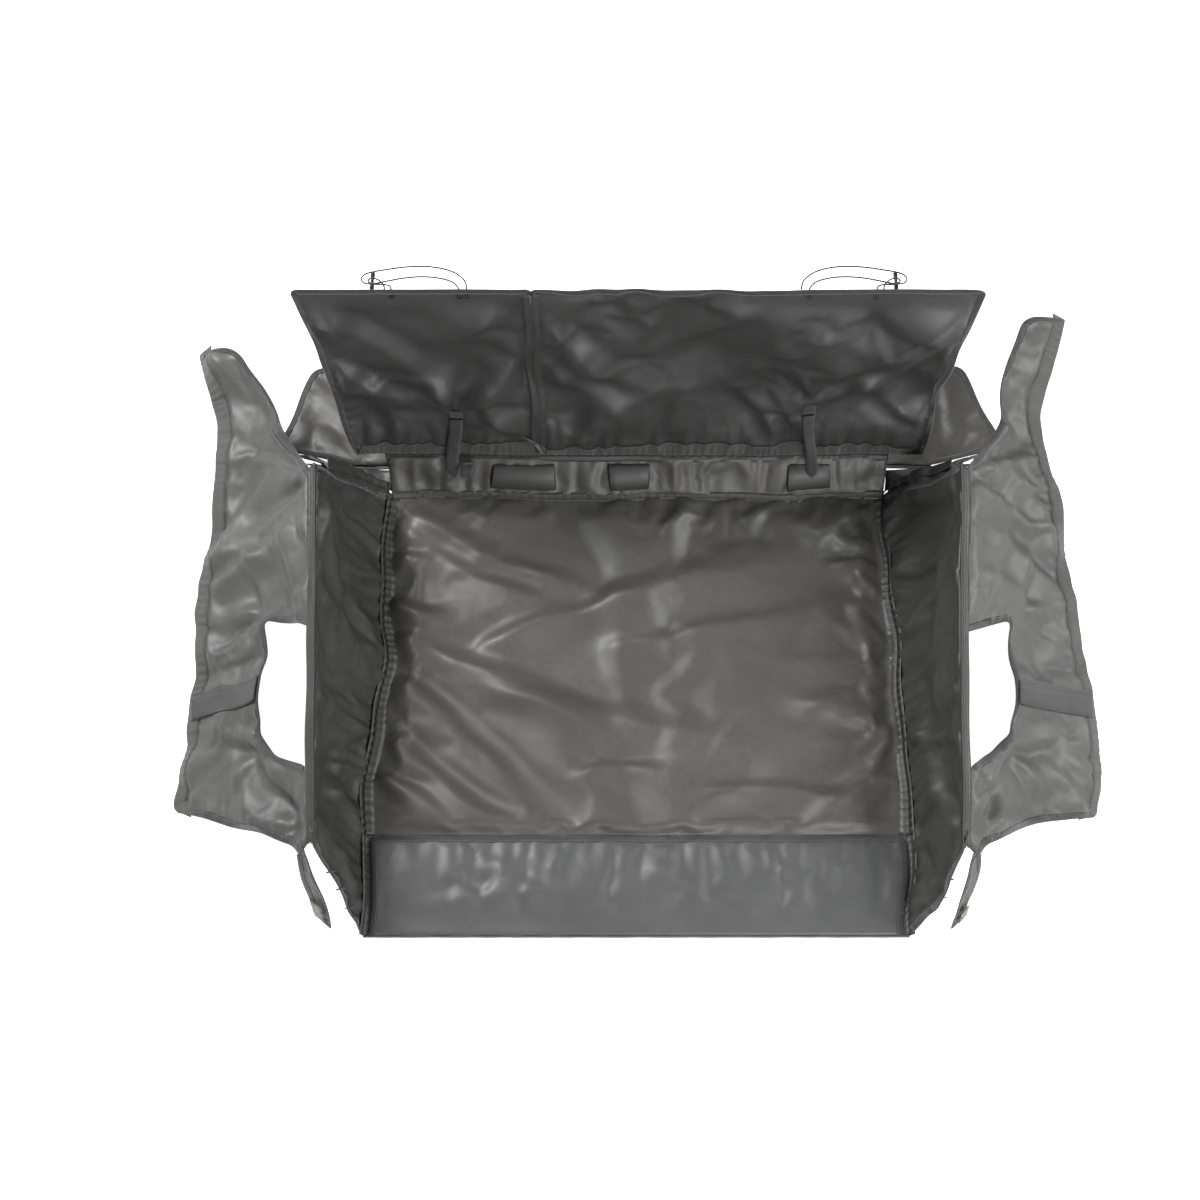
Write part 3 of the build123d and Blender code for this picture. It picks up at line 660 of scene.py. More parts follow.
def tape_over(
    name: str,
    strip: tuple[Array, Array, Array, Array],
    thick: float = 0.0026,
    step: float = 0.0045,
    ruffle: Ruffle | None = None,
    rows: int = 3,
) -> Piece:
    """Tape folded over an edge, padded at its middle, with gathers if it is elastic.

    Args:
        name: object name.
        strip: the edge's outer line, the tape's inner line, and the normals along both.
        thick: thickness over both faces.
        step: length of one section of the tape.
        ruffle: gathers, or None for a flat tape.
        rows: points across each face.

    Returns:
        The new object.
    """
    outer, inner, up_outer, up_inner = strip
    where, run = resample(outer, step)
    a, b = sampled(outer, where), sampled(inner, where)
    na, nb = sampled(up_outer, where), sampled(up_inner, where)
    width = float(np.median(np.linalg.norm(b - a, axis=1)))
    shares = np.linspace(0.06, 1.0, rows + 1)
    swell = ruffle.lift(run) if ruffle else np.zeros(len(run))
    sections, flats = [], []
    outwards = (a - b) / np.maximum(np.linalg.norm(a - b, axis=1)[:, None], 1e-6)
    sections.append(a + outwards * 0.0007)
    flats.append(strip_uv(run, -0.0007))
    for face in (1, -1):
        order = shares if face == 1 else shares[::-1]
        for share in order:
            spot = a + (b - a) * share
            normal = na + (nb - na) * share
            full = 0.62 if share == 1.0 else 1.0
            gather = swell * math.sin(math.pi * min(share * 0.9 + 0.12, 1.0))
            sections.append(spot + normal * (face * thick / 2 * full + gather)[:, None] if ruffle else
                            spot + normal * (face * thick / 2 * full))
            flats.append(strip_uv(run, width * share))
    rings = np.stack(sections, axis=1)
    return skin(name, rings, np.stack(flats, axis=1))


def strip_uv(run: Array, across: float) -> Array:
    """UV of one line of points, at distances along it and one distance across."""
    return np.stack([run, np.full(len(run), across)], axis=1)


def ribbon(
    name: str, path: Array, width: float, thick: float, across: Sequence[float], point: float = 0.0
) -> Piece:
    """A flat strap or strip with rounded edges along a path.

    Args:
        name: object name.
        path: points along its middle.
        width: its width.
        thick: its thickness.
        across: direction of its width.
        point: length of a pointed end, or zero.

    Returns:
        The new object.
    """
    path = np.array(path, float)
    run = np.concatenate([[0], np.cumsum(np.linalg.norm(np.diff(path, axis=0), axis=1))])
    side = unit(across)
    way = np.gradient(path, axis=0)
    way /= np.linalg.norm(way, axis=1)[:, None]
    up = np.cross(way, side)
    up /= np.linalg.norm(up, axis=1)[:, None]
    half = np.full(len(path), width / 2)
    if point > 0:
        half *= np.clip(0.12 + (run[-1] - run) / point, 0, 1)
    columns = ((-1, 0), (-0.94, 0.42), (-0.5, 0.5), (0, 0.5), (0.5, 0.5), (0.94, 0.42), (1, 0))
    ring_shape = list(columns) + [(x, -y) for x, y in columns[-2:0:-1]]
    rings = np.stack([path + side * (half * x)[:, None] + up * (thick * y) for x, y in ring_shape], axis=1)
    flats = np.stack([strip_uv(run, x * width / 2) for x, _ in ring_shape], axis=1)
    return skin(name, rings, flats)


def tube(name: str, path: Array, radius: float | Array, sides: int = 8) -> Piece:
    """A round cord or piping along a path."""
    path = np.array(path, float)
    way = np.gradient(path, axis=0)
    way /= np.linalg.norm(way, axis=1)[:, None]
    helper = np.array([0, 0, 1.0]) if abs(way[0][2]) < 0.8 else np.array([1.0, 0, 0])
    first = np.cross(way, helper)
    first /= np.linalg.norm(first, axis=1)[:, None]
    second = np.cross(way, first)
    size = np.broadcast_to(np.array(radius, float), (len(path),))
    angles = np.arange(sides) / sides * 2 * math.pi
    rings = np.stack([path + (first * math.cos(t) + second * math.sin(t)) * size[:, None] for t in angles],
                     axis=1)
    run = np.concatenate([[0], np.cumsum(np.linalg.norm(np.diff(path, axis=0), axis=1))])
    flats = np.stack([strip_uv(run, t * float(size[0])) for t in angles], axis=1)
    return skin(name, rings, flats)


def stitch(low: Array, high: Array, up: Array, radius: float) -> Piece:
    """One stitch of thread between two places, a little higher at its middle."""
    return tube("stitch", np.array([low, (low + high) / 2 + up * STITCH_CROWN, high]), radius, 4)


def joined(name: str, parts: Sequence[Piece]) -> Piece:
    """Several mesh objects as one."""
    points, faces, flats = [], [], []
    start = 0
    for part in parts:
        mesh = part.data
        points.append(points_of(mesh))
        faces += [[start + i for i in polygon.vertices] for polygon in mesh.polygons]
        flat = np.zeros((len(mesh.vertices), 2))
        layer = mesh.uv_layers[0].data
        for loop in mesh.loops:
            flat[loop.vertex_index] = layer[loop.index].uv
        flats.append(flat)
        start += len(mesh.vertices)
        bpy.data.objects.remove(part)
    return new_object(name, np.vstack(points), faces, np.vstack(flats))


# ---------------------------------------------------------------- material node groups
class Graph:
    """A small helper that adds and joins nodes in one tree."""

    def __init__(self, tree: Tree) -> None:
        """Keep the tree and start at its left."""
        self.tree = tree
        self.count = 0

    def add(self, kind: str, values: dict | None = None, **settings: object) -> bpy.types.Node:
        """Add a node, set its properties and its unlinked inputs, and return it."""
        node = self.tree.nodes.new(kind)
        node.location = (220 * (self.count % 9), -240 * (self.count // 9))
        self.count += 1
        for key, value in settings.items():
            setattr(node, key, value)
        for key, value in (values or {}).items():
            if isinstance(value, Socket):
                self.tree.links.new(value, node.inputs[key])
            else:
                node.inputs[key].default_value = value
        return node

    def link(self, value: Socket, node: bpy.types.Node, key: str) -> None:
        """Join a value to a node's input."""
        self.tree.links.new(value, node.inputs[key])

    @staticmethod
    def put(node: bpy.types.Node, key: str, value: object) -> None:
        """Set a node's own input."""
        node.inputs[key].default_value = value

    def math(self, operation: str, *values: object, clamp: bool = False) -> Socket:
        """A Math node's result."""
        node = self.add("ShaderNodeMath", dict(enumerate(values)), operation=operation, use_clamp=clamp)
        return node.outputs[0]

    def plus(self, first: object, second: object) -> Socket:
        """The sum of two values."""
        return self.math("ADD", first, second)

    def minus(self, first: object, second: object) -> Socket:
        """The first value less the second."""
        return self.math("SUBTRACT", first, second)

    def times(self, first: object, second: object) -> Socket:
        """The product of two values."""
        return self.math("MULTIPLY", first, second)

    def noise(self, vector: Socket, scale: object, detail: float = 3.0, rough: float = 0.5) -> Socket:
        """A noise texture's value."""
        values = {"Vector": vector, "Scale": scale, "Detail": detail, "Roughness": rough}
        return self.add("ShaderNodeTexNoise", values).outputs["Fac"]

    def ramp(self, value: Socket, low: float, high: float) -> Socket:
        """A smooth step of a value between two marks."""
        values = {"Value": value, "From Min": low, "From Max": high}
        return self.add("ShaderNodeMapRange", values, interpolation_type="SMOOTHSTEP").outputs["Result"]

    def stretched(self, vector: Socket, scale: Sequence[float], turn: float = 0.0) -> Socket:
        """A vector scaled unevenly after a turn about Z."""
        turned = self.add("ShaderNodeMapping", {"Vector": vector, "Rotation": (0, 0, turn)})
        return self.add("ShaderNodeMapping", {"Vector": turned.outputs[0], "Scale": scale}).outputs[0]


def make_group(name: str, inputs: dict[str, float], outputs: Sequence[str], fill: Callable) -> Tree:
    """A shader node group with named inputs and outputs, made once.

    Args:
        name: the group's name.
        inputs: names and first values of its inputs.
        outputs: names of its outputs.
        fill: function that takes the graph and the input node, and returns the output sockets.

    Returns:
        The node group.
    """
    tree = bpy.data.node_groups.new(name, "ShaderNodeTree")
    for key, value in inputs.items():
        socket = tree.interface.new_socket(name=key, in_out="INPUT", socket_type="NodeSocketFloat")
        socket.default_value = value
    for key in outputs:
        tree.interface.new_socket(name=key, in_out="OUTPUT", socket_type="NodeSocketFloat")
    graph = Graph(tree)
    entry = graph.add("NodeGroupInput")
    results = fill(graph, entry)
    leave = graph.add("NodeGroupOutput")
    for key, socket in zip(outputs, results):
        tree.links.new(socket, leave.inputs[key])
    return tree


def fill_weave(graph: Graph, entry: bpy.types.Node) -> list[Socket]:
    """Plain weave: two sets of threads that pass over each other."""
    flat = graph.add("ShaderNodeUVMap", uv_map="flat").outputs[0]
    parts = graph.add("ShaderNodeSeparateXYZ", {"Vector": flat})
    rate = graph.math("DIVIDE", 2 * math.pi, entry.outputs["Pitch"])
    warp = graph.math("SINE", graph.times(parts.outputs["X"], rate))
    weft = graph.math("SINE", graph.times(parts.outputs["Y"], rate))
    height = graph.times(warp, weft)
    uneven = graph.noise(flat, 900.0, 2.0)
    return [graph.plus(height, graph.times(uneven, 0.8))]


def fill_crinkle(graph: Graph, entry: bpy.types.Node) -> list[Socket]:
    """Creases of coated cloth: soft dents, long diagonal creases and small crumples."""
    place = graph.add("ShaderNodeTexCoord").outputs["Object"]
    shift = graph.add("ShaderNodeCombineXYZ", {"X": entry.outputs["Seed"], "Y": entry.outputs["Seed"]})
    moved = graph.add("ShaderNodeVectorMath", {0: place, 1: shift.outputs[0]}, operation="ADD").outputs[0]
    bent = graph.add("ShaderNodeTexNoise", {"Vector": moved, "Scale": 9.0, "Detail": 2.0}).outputs["Color"]
    push = graph.add("ShaderNodeVectorMath", {0: bent, "Scale": 0.05}, operation="SCALE").outputs[0]
    warped = graph.add("ShaderNodeVectorMath", {0: moved, 1: push}, operation="ADD").outputs[0]
    streak_a = graph.noise(graph.stretched(warped, (6, 26, 14), 0.7), 1.0, 2.0, 0.4)
    streak_b = graph.noise(graph.stretched(warped, (28, 6, 14), 0.35), 1.0, 2.0, 0.4)
    ridge_a = graph.math("ABSOLUTE", graph.minus(streak_a, 0.5))
    ridge_b = graph.math("ABSOLUTE", graph.minus(streak_b, 0.5))
    broad = graph.add("ShaderNodeTexVoronoi", {"Vector": warped, "Scale": 11.0})
    small = graph.add("ShaderNodeTexVoronoi", {"Vector": warped, "Scale": 27.0})
    height = graph.plus(graph.times(ridge_a, -1.2), graph.times(ridge_b, -0.8))
    height = graph.plus(height, graph.times(broad.outputs["Distance"], 0.9))
    height = graph.plus(height, graph.times(small.outputs["Distance"], 0.28))
    return [height]


def fill_mottle(graph: Graph, entry: bpy.types.Node) -> list[Socket]:
    """Uneven colour, dust and the paler rubbed places of handled cloth."""
    place = graph.add("ShaderNodeTexCoord").outputs["Object"]
    broad = graph.noise(place, entry.outputs["Scale"], 5.0, 0.55)
    fine = graph.noise(place, 85.0, 4.0, 0.6)
    streaks = graph.noise(graph.stretched(place, (8, 46, 20), 0.5), 1.0, 4.0, 0.6)
    shade = graph.plus(graph.times(broad, 0.55), graph.times(fine, 0.2))
    shade = graph.plus(shade, graph.times(streaks, 0.25))
    dust = graph.ramp(graph.times(fine, graph.noise(place, 4.0, 3.0)), 0.24, 0.42)
    return [shade, dust]


def fill_ribs(graph: Graph, entry: bpy.types.Node) -> list[Socket]:
    """Tape: ribs across its length and a stitch line along it."""
    flat = graph.add("ShaderNodeUVMap", uv_map="flat").outputs[0]
    parts = graph.add("ShaderNodeSeparateXYZ", {"Vector": flat})
    rate = graph.math("DIVIDE", 2 * math.pi, entry.outputs["Rib"])
    rib = graph.math("SINE", graph.times(parts.outputs["X"], rate))
    off = graph.math("ABSOLUTE", graph.minus(parts.outputs["Y"], entry.outputs["Stitch Line"]))
    near = graph.minus(1.0, graph.ramp(off, 0.0003, 0.0008))
    beat = graph.math("SINE", graph.times(parts.outputs["X"], 2 * math.pi / 0.0042))
    dash = graph.ramp(beat, -0.55, -0.2)
    return [rib, graph.times(near, dash), near]


def fill_fuzz(graph: Graph, entry: bpy.types.Node) -> list[Socket]:
    """Matted loops and hooks."""
    place = graph.add("ShaderNodeTexCoord").outputs["Object"]
    fine = graph.noise(place, entry.outputs["Scale"], 6.0, 0.8)
    clumps = graph.noise(place, 160.0, 3.0, 0.6)
    return [graph.plus(fine, clumps), graph.ramp(clumps, 0.35, 0.68)]


class Effects:
    """The node groups that the finishes share."""

    def __init__(self) -> None:
        """Make each group once."""
        self.weave = make_group("plain_weave", {"Pitch": 0.0009}, ["Height"], fill_weave)
        self.crinkle = make_group("cloth_crinkle", {"Seed": 0.0}, ["Height"], fill_crinkle)
        self.mottle = make_group("handled_mottle", {"Scale": 6.0}, ["Shade", "Dust"], fill_mottle)
        self.ribs = make_group(
            "tape_ribs", {"Rib": 0.0011, "Stitch Line": 0.009}, ["Height", "Stitch", "Channel"], fill_ribs
        )
        self.fuzz = make_group("matted_fuzz", {"Scale": 1400.0}, ["Height", "Clump"], fill_fuzz)


# ---------------------------------------------------------------- finishes
Colour = tuple[float, float, float]


def start_material(name: str) -> tuple[Material, Graph, bpy.types.Node]:
    """A material with one Principled BSDF, and a graph to add to."""
    material = bpy.data.materials.new(name)
    material.use_nodes = True
    material.node_tree.nodes.clear()
    graph = Graph(material.node_tree)
    leave = graph.add("ShaderNodeOutputMaterial")
    shader = graph.add("ShaderNodeBsdfPrincipled")
    material.node_tree.links.new(shader.outputs[0], leave.inputs[0])
    return material, graph, shader


def place_group(graph: Graph, tree: Tree, values: dict | None = None) -> bpy.types.Node:
    """A node group placed in a material with its own values."""
    node = graph.add("ShaderNodeGroup", node_tree=tree)
    for key, value in (values or {}).items():
        node.inputs[key].default_value = value
    return node


def mixed(graph: Graph, share: Socket, low: Colour, high: Colour) -> Socket:
    """A colour between two, by a share that changes over the surface."""
    node = graph.add("ShaderNodeMix", data_type="RGBA")
    colours = [s for s in node.inputs if s.type == "RGBA"]
    graph.tree.links.new(share, node.inputs[0])
    colours[0].default_value = (*low, 1)
    colours[1].default_value = (*high, 1)
    return [s for s in node.outputs if s.type == "RGBA"][0]


def over(graph: Graph, share: Socket, base: Socket, top: Colour) -> Socket:
    """A colour laid over another where a mask is full."""
    node = graph.add("ShaderNodeMix", data_type="RGBA")
    colours = [s for s in node.inputs if s.type == "RGBA"]
    graph.tree.links.new(share, node.inputs[0])
    graph.tree.links.new(base, colours[0])
    colours[1].default_value = (*top, 1)
    return [s for s in node.outputs if s.type == "RGBA"][0]


@dataclass(frozen=True)
class CoatedCloth:
    """Woven polyester with a glossy coating, creased all over."""

    name: str
    low: Colour
    high: Colour
    dust: Colour
    rough: tuple[float, float] = (0.39, 0.50)
    coat: float = 0.10
    crease: float = 0.22
    seed: float = 0.0

    def material(self, effects: Effects) -> Material:
        """Build the node material."""
        material, graph, shader = start_material(self.name)
        mottle = place_group(graph, effects.mottle, {"Scale": 5.0})
        crinkle = place_group(graph, effects.crinkle, {"Seed": self.seed})
        weave = place_group(graph, effects.weave, {"Pitch": 0.0009})
        shade = graph.ramp(mottle.outputs["Shade"], 0.36, 0.64)
        colour = mixed(graph, shade, self.low, self.high)
        colour = over(graph, graph.times(mottle.outputs["Dust"], 0.18), colour, self.dust)
        graph.link(colour, shader, "Base Color")
        rough = graph.add(
            "ShaderNodeMapRange", {"Value": mottle.outputs["Shade"], "To Min": self.rough[0],
                                   "To Max": self.rough[1]}
        )
        graph.link(rough.outputs[0], shader, "Roughness")
        graph.put(shader, "Specular IOR Level", 0.5)
        graph.put(shader, "Coat Weight", self.coat)
        graph.put(shader, "Coat Roughness", 0.3)
        first = graph.add(
            "ShaderNodeBump", {"Height": crinkle.outputs["Height"], "Strength": self.crease,
                               "Distance": 0.004}
        )
        second = graph.add(
            "ShaderNodeBump",
            {"Height": weave.outputs["Height"], "Strength": 0.22, "Distance": 0.0002,
             "Normal": first.outputs[0]},
        )
        graph.link(second.outputs[0], shader, "Normal")
        return material


@dataclass(frozen=True)
class WovenTape:
    """Ribbed tape or webbing with a stitch line."""

    name: str
    low: Colour
    high: Colour
    thread: Colour
    rib: float = 0.0011
    line: float = 0.0095
    rough: float = 0.62

    def material(self, effects: Effects) -> Material:
        """Build the node material."""
        material, graph, shader = start_material(self.name)
        ribs = place_group(graph, effects.ribs, {"Rib": self.rib, "Stitch Line": self.line})
        mottle = place_group(graph, effects.mottle, {"Scale": 14.0})
        colour = mixed(graph, graph.ramp(mottle.outputs["Shade"], 0.35, 0.65), self.low, self.high)
        colour = over(graph, graph.times(mottle.outputs["Dust"], 0.25), colour, self.high)
        colour = over(graph, ribs.outputs["Stitch"], colour, self.thread)
        graph.link(colour, shader, "Base Color")
        graph.put(shader, "Roughness", self.rough)
        graph.put(shader, "Sheen Weight", 0.3)
        graph.put(shader, "Sheen Roughness", 0.5)
        height = graph.plus(ribs.outputs["Height"], graph.times(ribs.outputs["Stitch"], 2.5))
        height = graph.minus(height, graph.times(ribs.outputs["Channel"], 2.0))
        bump = graph.add("ShaderNodeBump", {"Height": height, "Strength": 0.5, "Distance": 0.00025})
        graph.link(bump.outputs[0], shader, "Normal")
        return material


@dataclass(frozen=True)
class HookAndLoop:
    """Matted hook-and-loop tape."""

    name: str
    low: Colour
    high: Colour

    def material(self, effects: Effects) -> Material:
        """Build the node material."""
        material, graph, shader = start_material(self.name)
        fuzz = place_group(graph, effects.fuzz, {"Scale": 1400.0})
        graph.link(mixed(graph, fuzz.outputs["Clump"], self.low, self.high), shader, "Base Color")
        graph.put(shader, "Roughness", 0.9)
        graph.put(shader, "Sheen Weight", 0.6)
        bump = graph.add("ShaderNodeBump", {"Height": fuzz.outputs["Height"], "Strength": 0.8,
                                            "Distance": 0.0008})
        graph.link(bump.outputs[0], shader, "Normal")
        return material


@dataclass(frozen=True)
class Moulded:
    """Plastic or painted metal with fine marks."""

    name: str
    low: Colour
    high: Colour
    metal: float = 0.0
    rough: tuple[float, float] = (0.3, 0.5)

    def material(self, effects: Effects) -> Material:
        """Build the node material."""
        material, graph, shader = start_material(self.name)
        mottle = place_group(graph, effects.mottle, {"Scale": 60.0})
        graph.tree.links.new(
            mixed(graph, graph.ramp(mottle.outputs["Shade"], 0.35, 0.65), self.low, self.high),
            shader.inputs["Base Color"]
        )
        rough = graph.add(
            "ShaderNodeMapRange", {"Value": mottle.outputs["Shade"], "To Min": self.rough[0],
                                   "To Max": self.rough[1]}
        )
        graph.link(rough.outputs[0], shader, "Roughness")
        graph.put(shader, "Metallic", self.metal)
        bump = graph.add("ShaderNodeBump", {"Height": mottle.outputs["Shade"], "Strength": 0.15,
                                            "Distance": 0.0005})
        graph.link(bump.outputs[0], shader, "Normal")
        return material


class Wardrobe:
    """Every finish of the liner, each built once."""

    def __init__(self) -> None:
        """Build the shared effects and the materials."""
        effects = Effects()
        finishes = [
            CoatedCloth("liner_cloth", (0.056, 0.0545, 0.053), (0.070, 0.068, 0.066), (0.10, 0.098, 0.092)),
            # Darker copy of liner_cloth: painted shade for the steep walls, and for the seams, tapes,
            # gussets, keepers and sill back dressed in it.
            CoatedCloth("wall_cloth", (0.036, 0.036, 0.035), (0.046, 0.045, 0.044), (0.08, 0.079, 0.075),
                        seed=2.3),
            # Paler copy of liner_cloth: painted light for the wings and the corner tabs.
            CoatedCloth("wing_cloth", (0.078, 0.078, 0.077), (0.094, 0.094, 0.092), (0.13, 0.129, 0.126),
                        rough=(0.43, 0.54), coat=0.05, seed=5.1),
            CoatedCloth("skirt_cloth", (0.066, 0.067, 0.0665), (0.078, 0.079, 0.0785), (0.11, 0.112, 0.11),
                        seed=7.7),
            # Darker copy of liner_cloth: painted shade for the steep back flap, its split tapes and foot
            # seams, and the gusset foot sheets.
            CoatedCloth("flap_cloth", (0.044, 0.0435, 0.043), (0.056, 0.0555, 0.055), (0.08, 0.079, 0.077),
                        seed=9.4),
            WovenTape("binding_tape", (0.016, 0.016, 0.017), (0.034, 0.034, 0.035), (0.10, 0.10, 0.10)),
            WovenTape("hem_tape", (0.060, 0.060, 0.059), (0.098, 0.098, 0.095), (0.03, 0.03, 0.03),
                      line=0.022),
            WovenTape("hem_tape_wing", (0.062, 0.062, 0.061), (0.080, 0.080, 0.078), (0.03, 0.03, 0.03),
                      line=0.022),
            WovenTape("hem_tape_dark", (0.054, 0.053, 0.052), (0.072, 0.071, 0.069), (0.02, 0.02, 0.02),
                      line=0.027),
            WovenTape("webbing", (0.022, 0.022, 0.023), (0.044, 0.044, 0.045), (0.09, 0.09, 0.09), rib=0.0022,
                      line=0.0098),
            HookAndLoop("hook_and_loop", (0.020, 0.019, 0.018), (0.060, 0.056, 0.051)),
            HookAndLoop("worn_hook", (0.085, 0.072, 0.058), (0.20, 0.175, 0.145)),
            WovenTape("elastic_cord", (0.010, 0.010, 0.011), (0.026, 0.026, 0.027), (0.06, 0.06, 0.06),
                      rib=0.0014),
            Moulded("toggle_plastic", (0.012, 0.012, 0.013), (0.022, 0.022, 0.023)),
            Moulded("eyelet_metal", (0.10, 0.10, 0.10), (0.18, 0.18, 0.18), metal=1.0, rough=(0.28, 0.45)),
        ]
        self.materials = {finish.name: finish.material(effects) for finish in finishes}

    def dress(self, obj: Piece, finish: str) -> None:
        """Give a piece its finish."""
        obj.data.materials.clear()
        obj.data.materials.append(self.materials[finish])

    def fit(
        self, obj: Piece, finish: str, body: Body,
        nodes: Sequence[str] = (), span: Span | None = None,
    ) -> None:
        """Give a piece its finish, then place it as settle_piece does."""
        self.dress(obj, finish)
        settle_piece(obj, body, nodes)

    def dress_node(self, node: str, finish: str) -> None:
        """Give a CAD node that stays in view its finish."""
        obj = frame["nodes"][node]
        if not obj.material_slots:
            obj.data.materials.append(self.materials[finish])
        for holder in obj.material_slots:
            holder.material = self.materials[finish]


# ---------------------------------------------------------------- shared placing
def stray(points: Array, scale: float, seed: float) -> Array:
    """A slow, smooth and uneven wave through space, from -1 to 1.

    Args:
        points: places in metres.
        scale: length of the waves.
        seed: makes this wave its own.

    Returns:
        One value for each place.
    """
    runs = np.array([(1.0, 0.37, 0.6), (-0.5, 0.93, -0.3), (0.31, -0.74, 0.9)])
    return np.sin(points @ runs.T * (2 * math.pi / scale) + seed * np.array([1.0, 2.3, 3.7])).mean(axis=1)


def drift(points: Array) -> Array:
    """Let the soft body stray from its straight cut, every piece by the same amount at one place.

    The hinge lines and the back flap's row of eyelets stay near their places, so that nothing parts as it
    moves.

    Args:
        points: places in metres.

    Returns:
        The same places, moved.
    """
    x, y, z = points.T
    wide, fine = (0.42, 0.38, 0.36), (0.15, 0.16, 0.14)           # lengths of the waves in x, y and z
    high, low = (0.012, 0.010, 0.012), (0.006, 0.005, 0.006)      # and their heights
    seeds = ((1.3, 2.9), (4.1, 5.7), (7.9, 9.2))
    aside, along, rise = (
        high[k] * stray(points, wide[k], seeds[k][0]) + low[k] * stray(points, fine[k], seeds[k][1])
        for k in range(3)
    )
    eyelets = smooth(0.34, 0.47, z) * smooth(0.40, 0.46, y) * (1 - smooth(0.64, 0.70, np.abs(x)))
    bumper = (1 - smooth(-0.27, -0.19, y)) * (1 - smooth(0.03, 0.09, z))
    foot = 0.85 * np.exp(-(((y - 0.515) / 0.06) ** 2) - ((z - 0.04) / 0.07) ** 2)
    ridge = joint("ridge_fold_right")
    off = np.cross(np.stack([np.abs(x), y, z], axis=1) - ridge["pos_m"], unit(ridge["axis"]))
    ridge_held = 1 - 0.85 * np.exp(-((np.linalg.norm(off, axis=1) / 0.045) ** 2))
    held = (1 - 0.95 * eyelets) * (1 - foot)
    moved = points.copy()
    moved[:, 0] += aside * (1 - 0.95 * eyelets) * ridge_held
    moved[:, 1] += along * held * (1 - bumper)
    moved[:, 2] += rise * held * ridge_held * smooth(0.02, 0.12, z)
    return moved


def settle_piece(
    obj: Piece, body: Body, nodes: Sequence[str] = (),
) -> Piece:
    """Let a dressed piece move with its body, or stay where it joins two, and stand for its nodes.

    Args:
        obj: the piece.
        body: the body that it rides on, or the two that it joins.
        nodes: CAD nodes that it stands for.

    Returns:
        The piece.
    """
    if obj.type == "MESH":
        set_points(obj.data, drift(points_of(obj.data)))
    if isinstance(body, tuple):
        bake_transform(obj)
    else:
        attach(obj, body)
    if nodes:
        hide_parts(*nodes)
    LOG.info("%s on %s", obj.name, body)
    return obj


def finish_panel(
    panel: Panel, wardrobe: Wardrobe, finish: str, body: Body, nodes: Sequence[str],
    tapes: str = "", tape_nodes: Sequence[str] = (),
    span: Span | None = None,
) -> None:
    """Thicken and dress a settled panel, add the tape on its bound edges, and place both.

    Args:
        panel: the settled panel.
        wardrobe: the finishes.
        finish: name of its finish.
        body: the body or bodies that it moves with.
        nodes: CAD nodes that it stands for.
        tapes: name of the binding piece, or nothing.
        tape_nodes: CAD nodes that the binding stands for.
        span: where a panel between two bodies turns; not used.
    """
    panel.open_hems()
    thicken(panel.obj, CLOTH)
    wardrobe.dress(panel.obj, finish)
    if isinstance(body, tuple):
        bake(panel.obj)
    settle_piece(panel.obj, body, nodes)
    strips = panel.strips(Trim.BINDING)
    if tapes and strips:
        parts = [tape_over(f"{tapes}_{k}", strip) for k, strip in enumerate(strips)]
        binding = joined(tapes, parts)
        wardrobe.fit(binding, "binding_tape", body, tape_nodes, span)


def bake(obj: Piece) -> None:
    """Make a piece's modifiers part of its mesh."""
    graph = bpy.context.evaluated_depsgraph_get()
    mesh = bpy.data.meshes.new_from_object(obj.evaluated_get(graph))
    obj.modifiers.clear()
    obj.data = mesh


def seam_strip(
    name: str, line: Array, towards_a: Array, towards_b: Array, up: Array,
    reach: float, crown: float, gathers: float, seed: float,
) -> Piece:
    """A gathered seam along a fold: a narrow strip over the fold and a little onto each panel.

    Args:
        name: object name.
        line: points along the fold.
        towards_a: direction into the first panel.
        towards_b: direction into the second panel.
        up: direction out of the fold, on its visible side.
        reach: how far it goes onto each panel.
        crown: how far it stands up at the fold.
        gathers: height of its gathers.
        seed: makes this seam's gathers its own.

    Returns:
        The strip, with an upper and a lower face.
    """
    where, run = resample(line, 0.005)
    spots = sampled(line, where)
    ruffle = Ruffle(0.016, gathers, seed).lift(run) if gathers else np.zeros(len(run))
    upper, flats = [], []
    shares = (-1.0, -0.55, -0.2, 0.0, 0.2, 0.55, 1.0)
    for share in shares:
        way = towards_a if share < 0 else towards_b
        lift = crown * (1 - abs(share)) ** 1.5 + 0.0009
        spot = spots + way * (abs(share) * reach) + up * (lift + ruffle * (1 - abs(share) ** 2))[:, None]
        upper.append(spot)
        flats.append(strip_uv(run, (share + 1) * reach))
    lower = [spot - up * 0.0016 for spot in upper[::-1]]
    rings = np.stack(upper + lower, axis=1)
    return skin(name, rings, np.stack(flats + flats[::-1], axis=1))


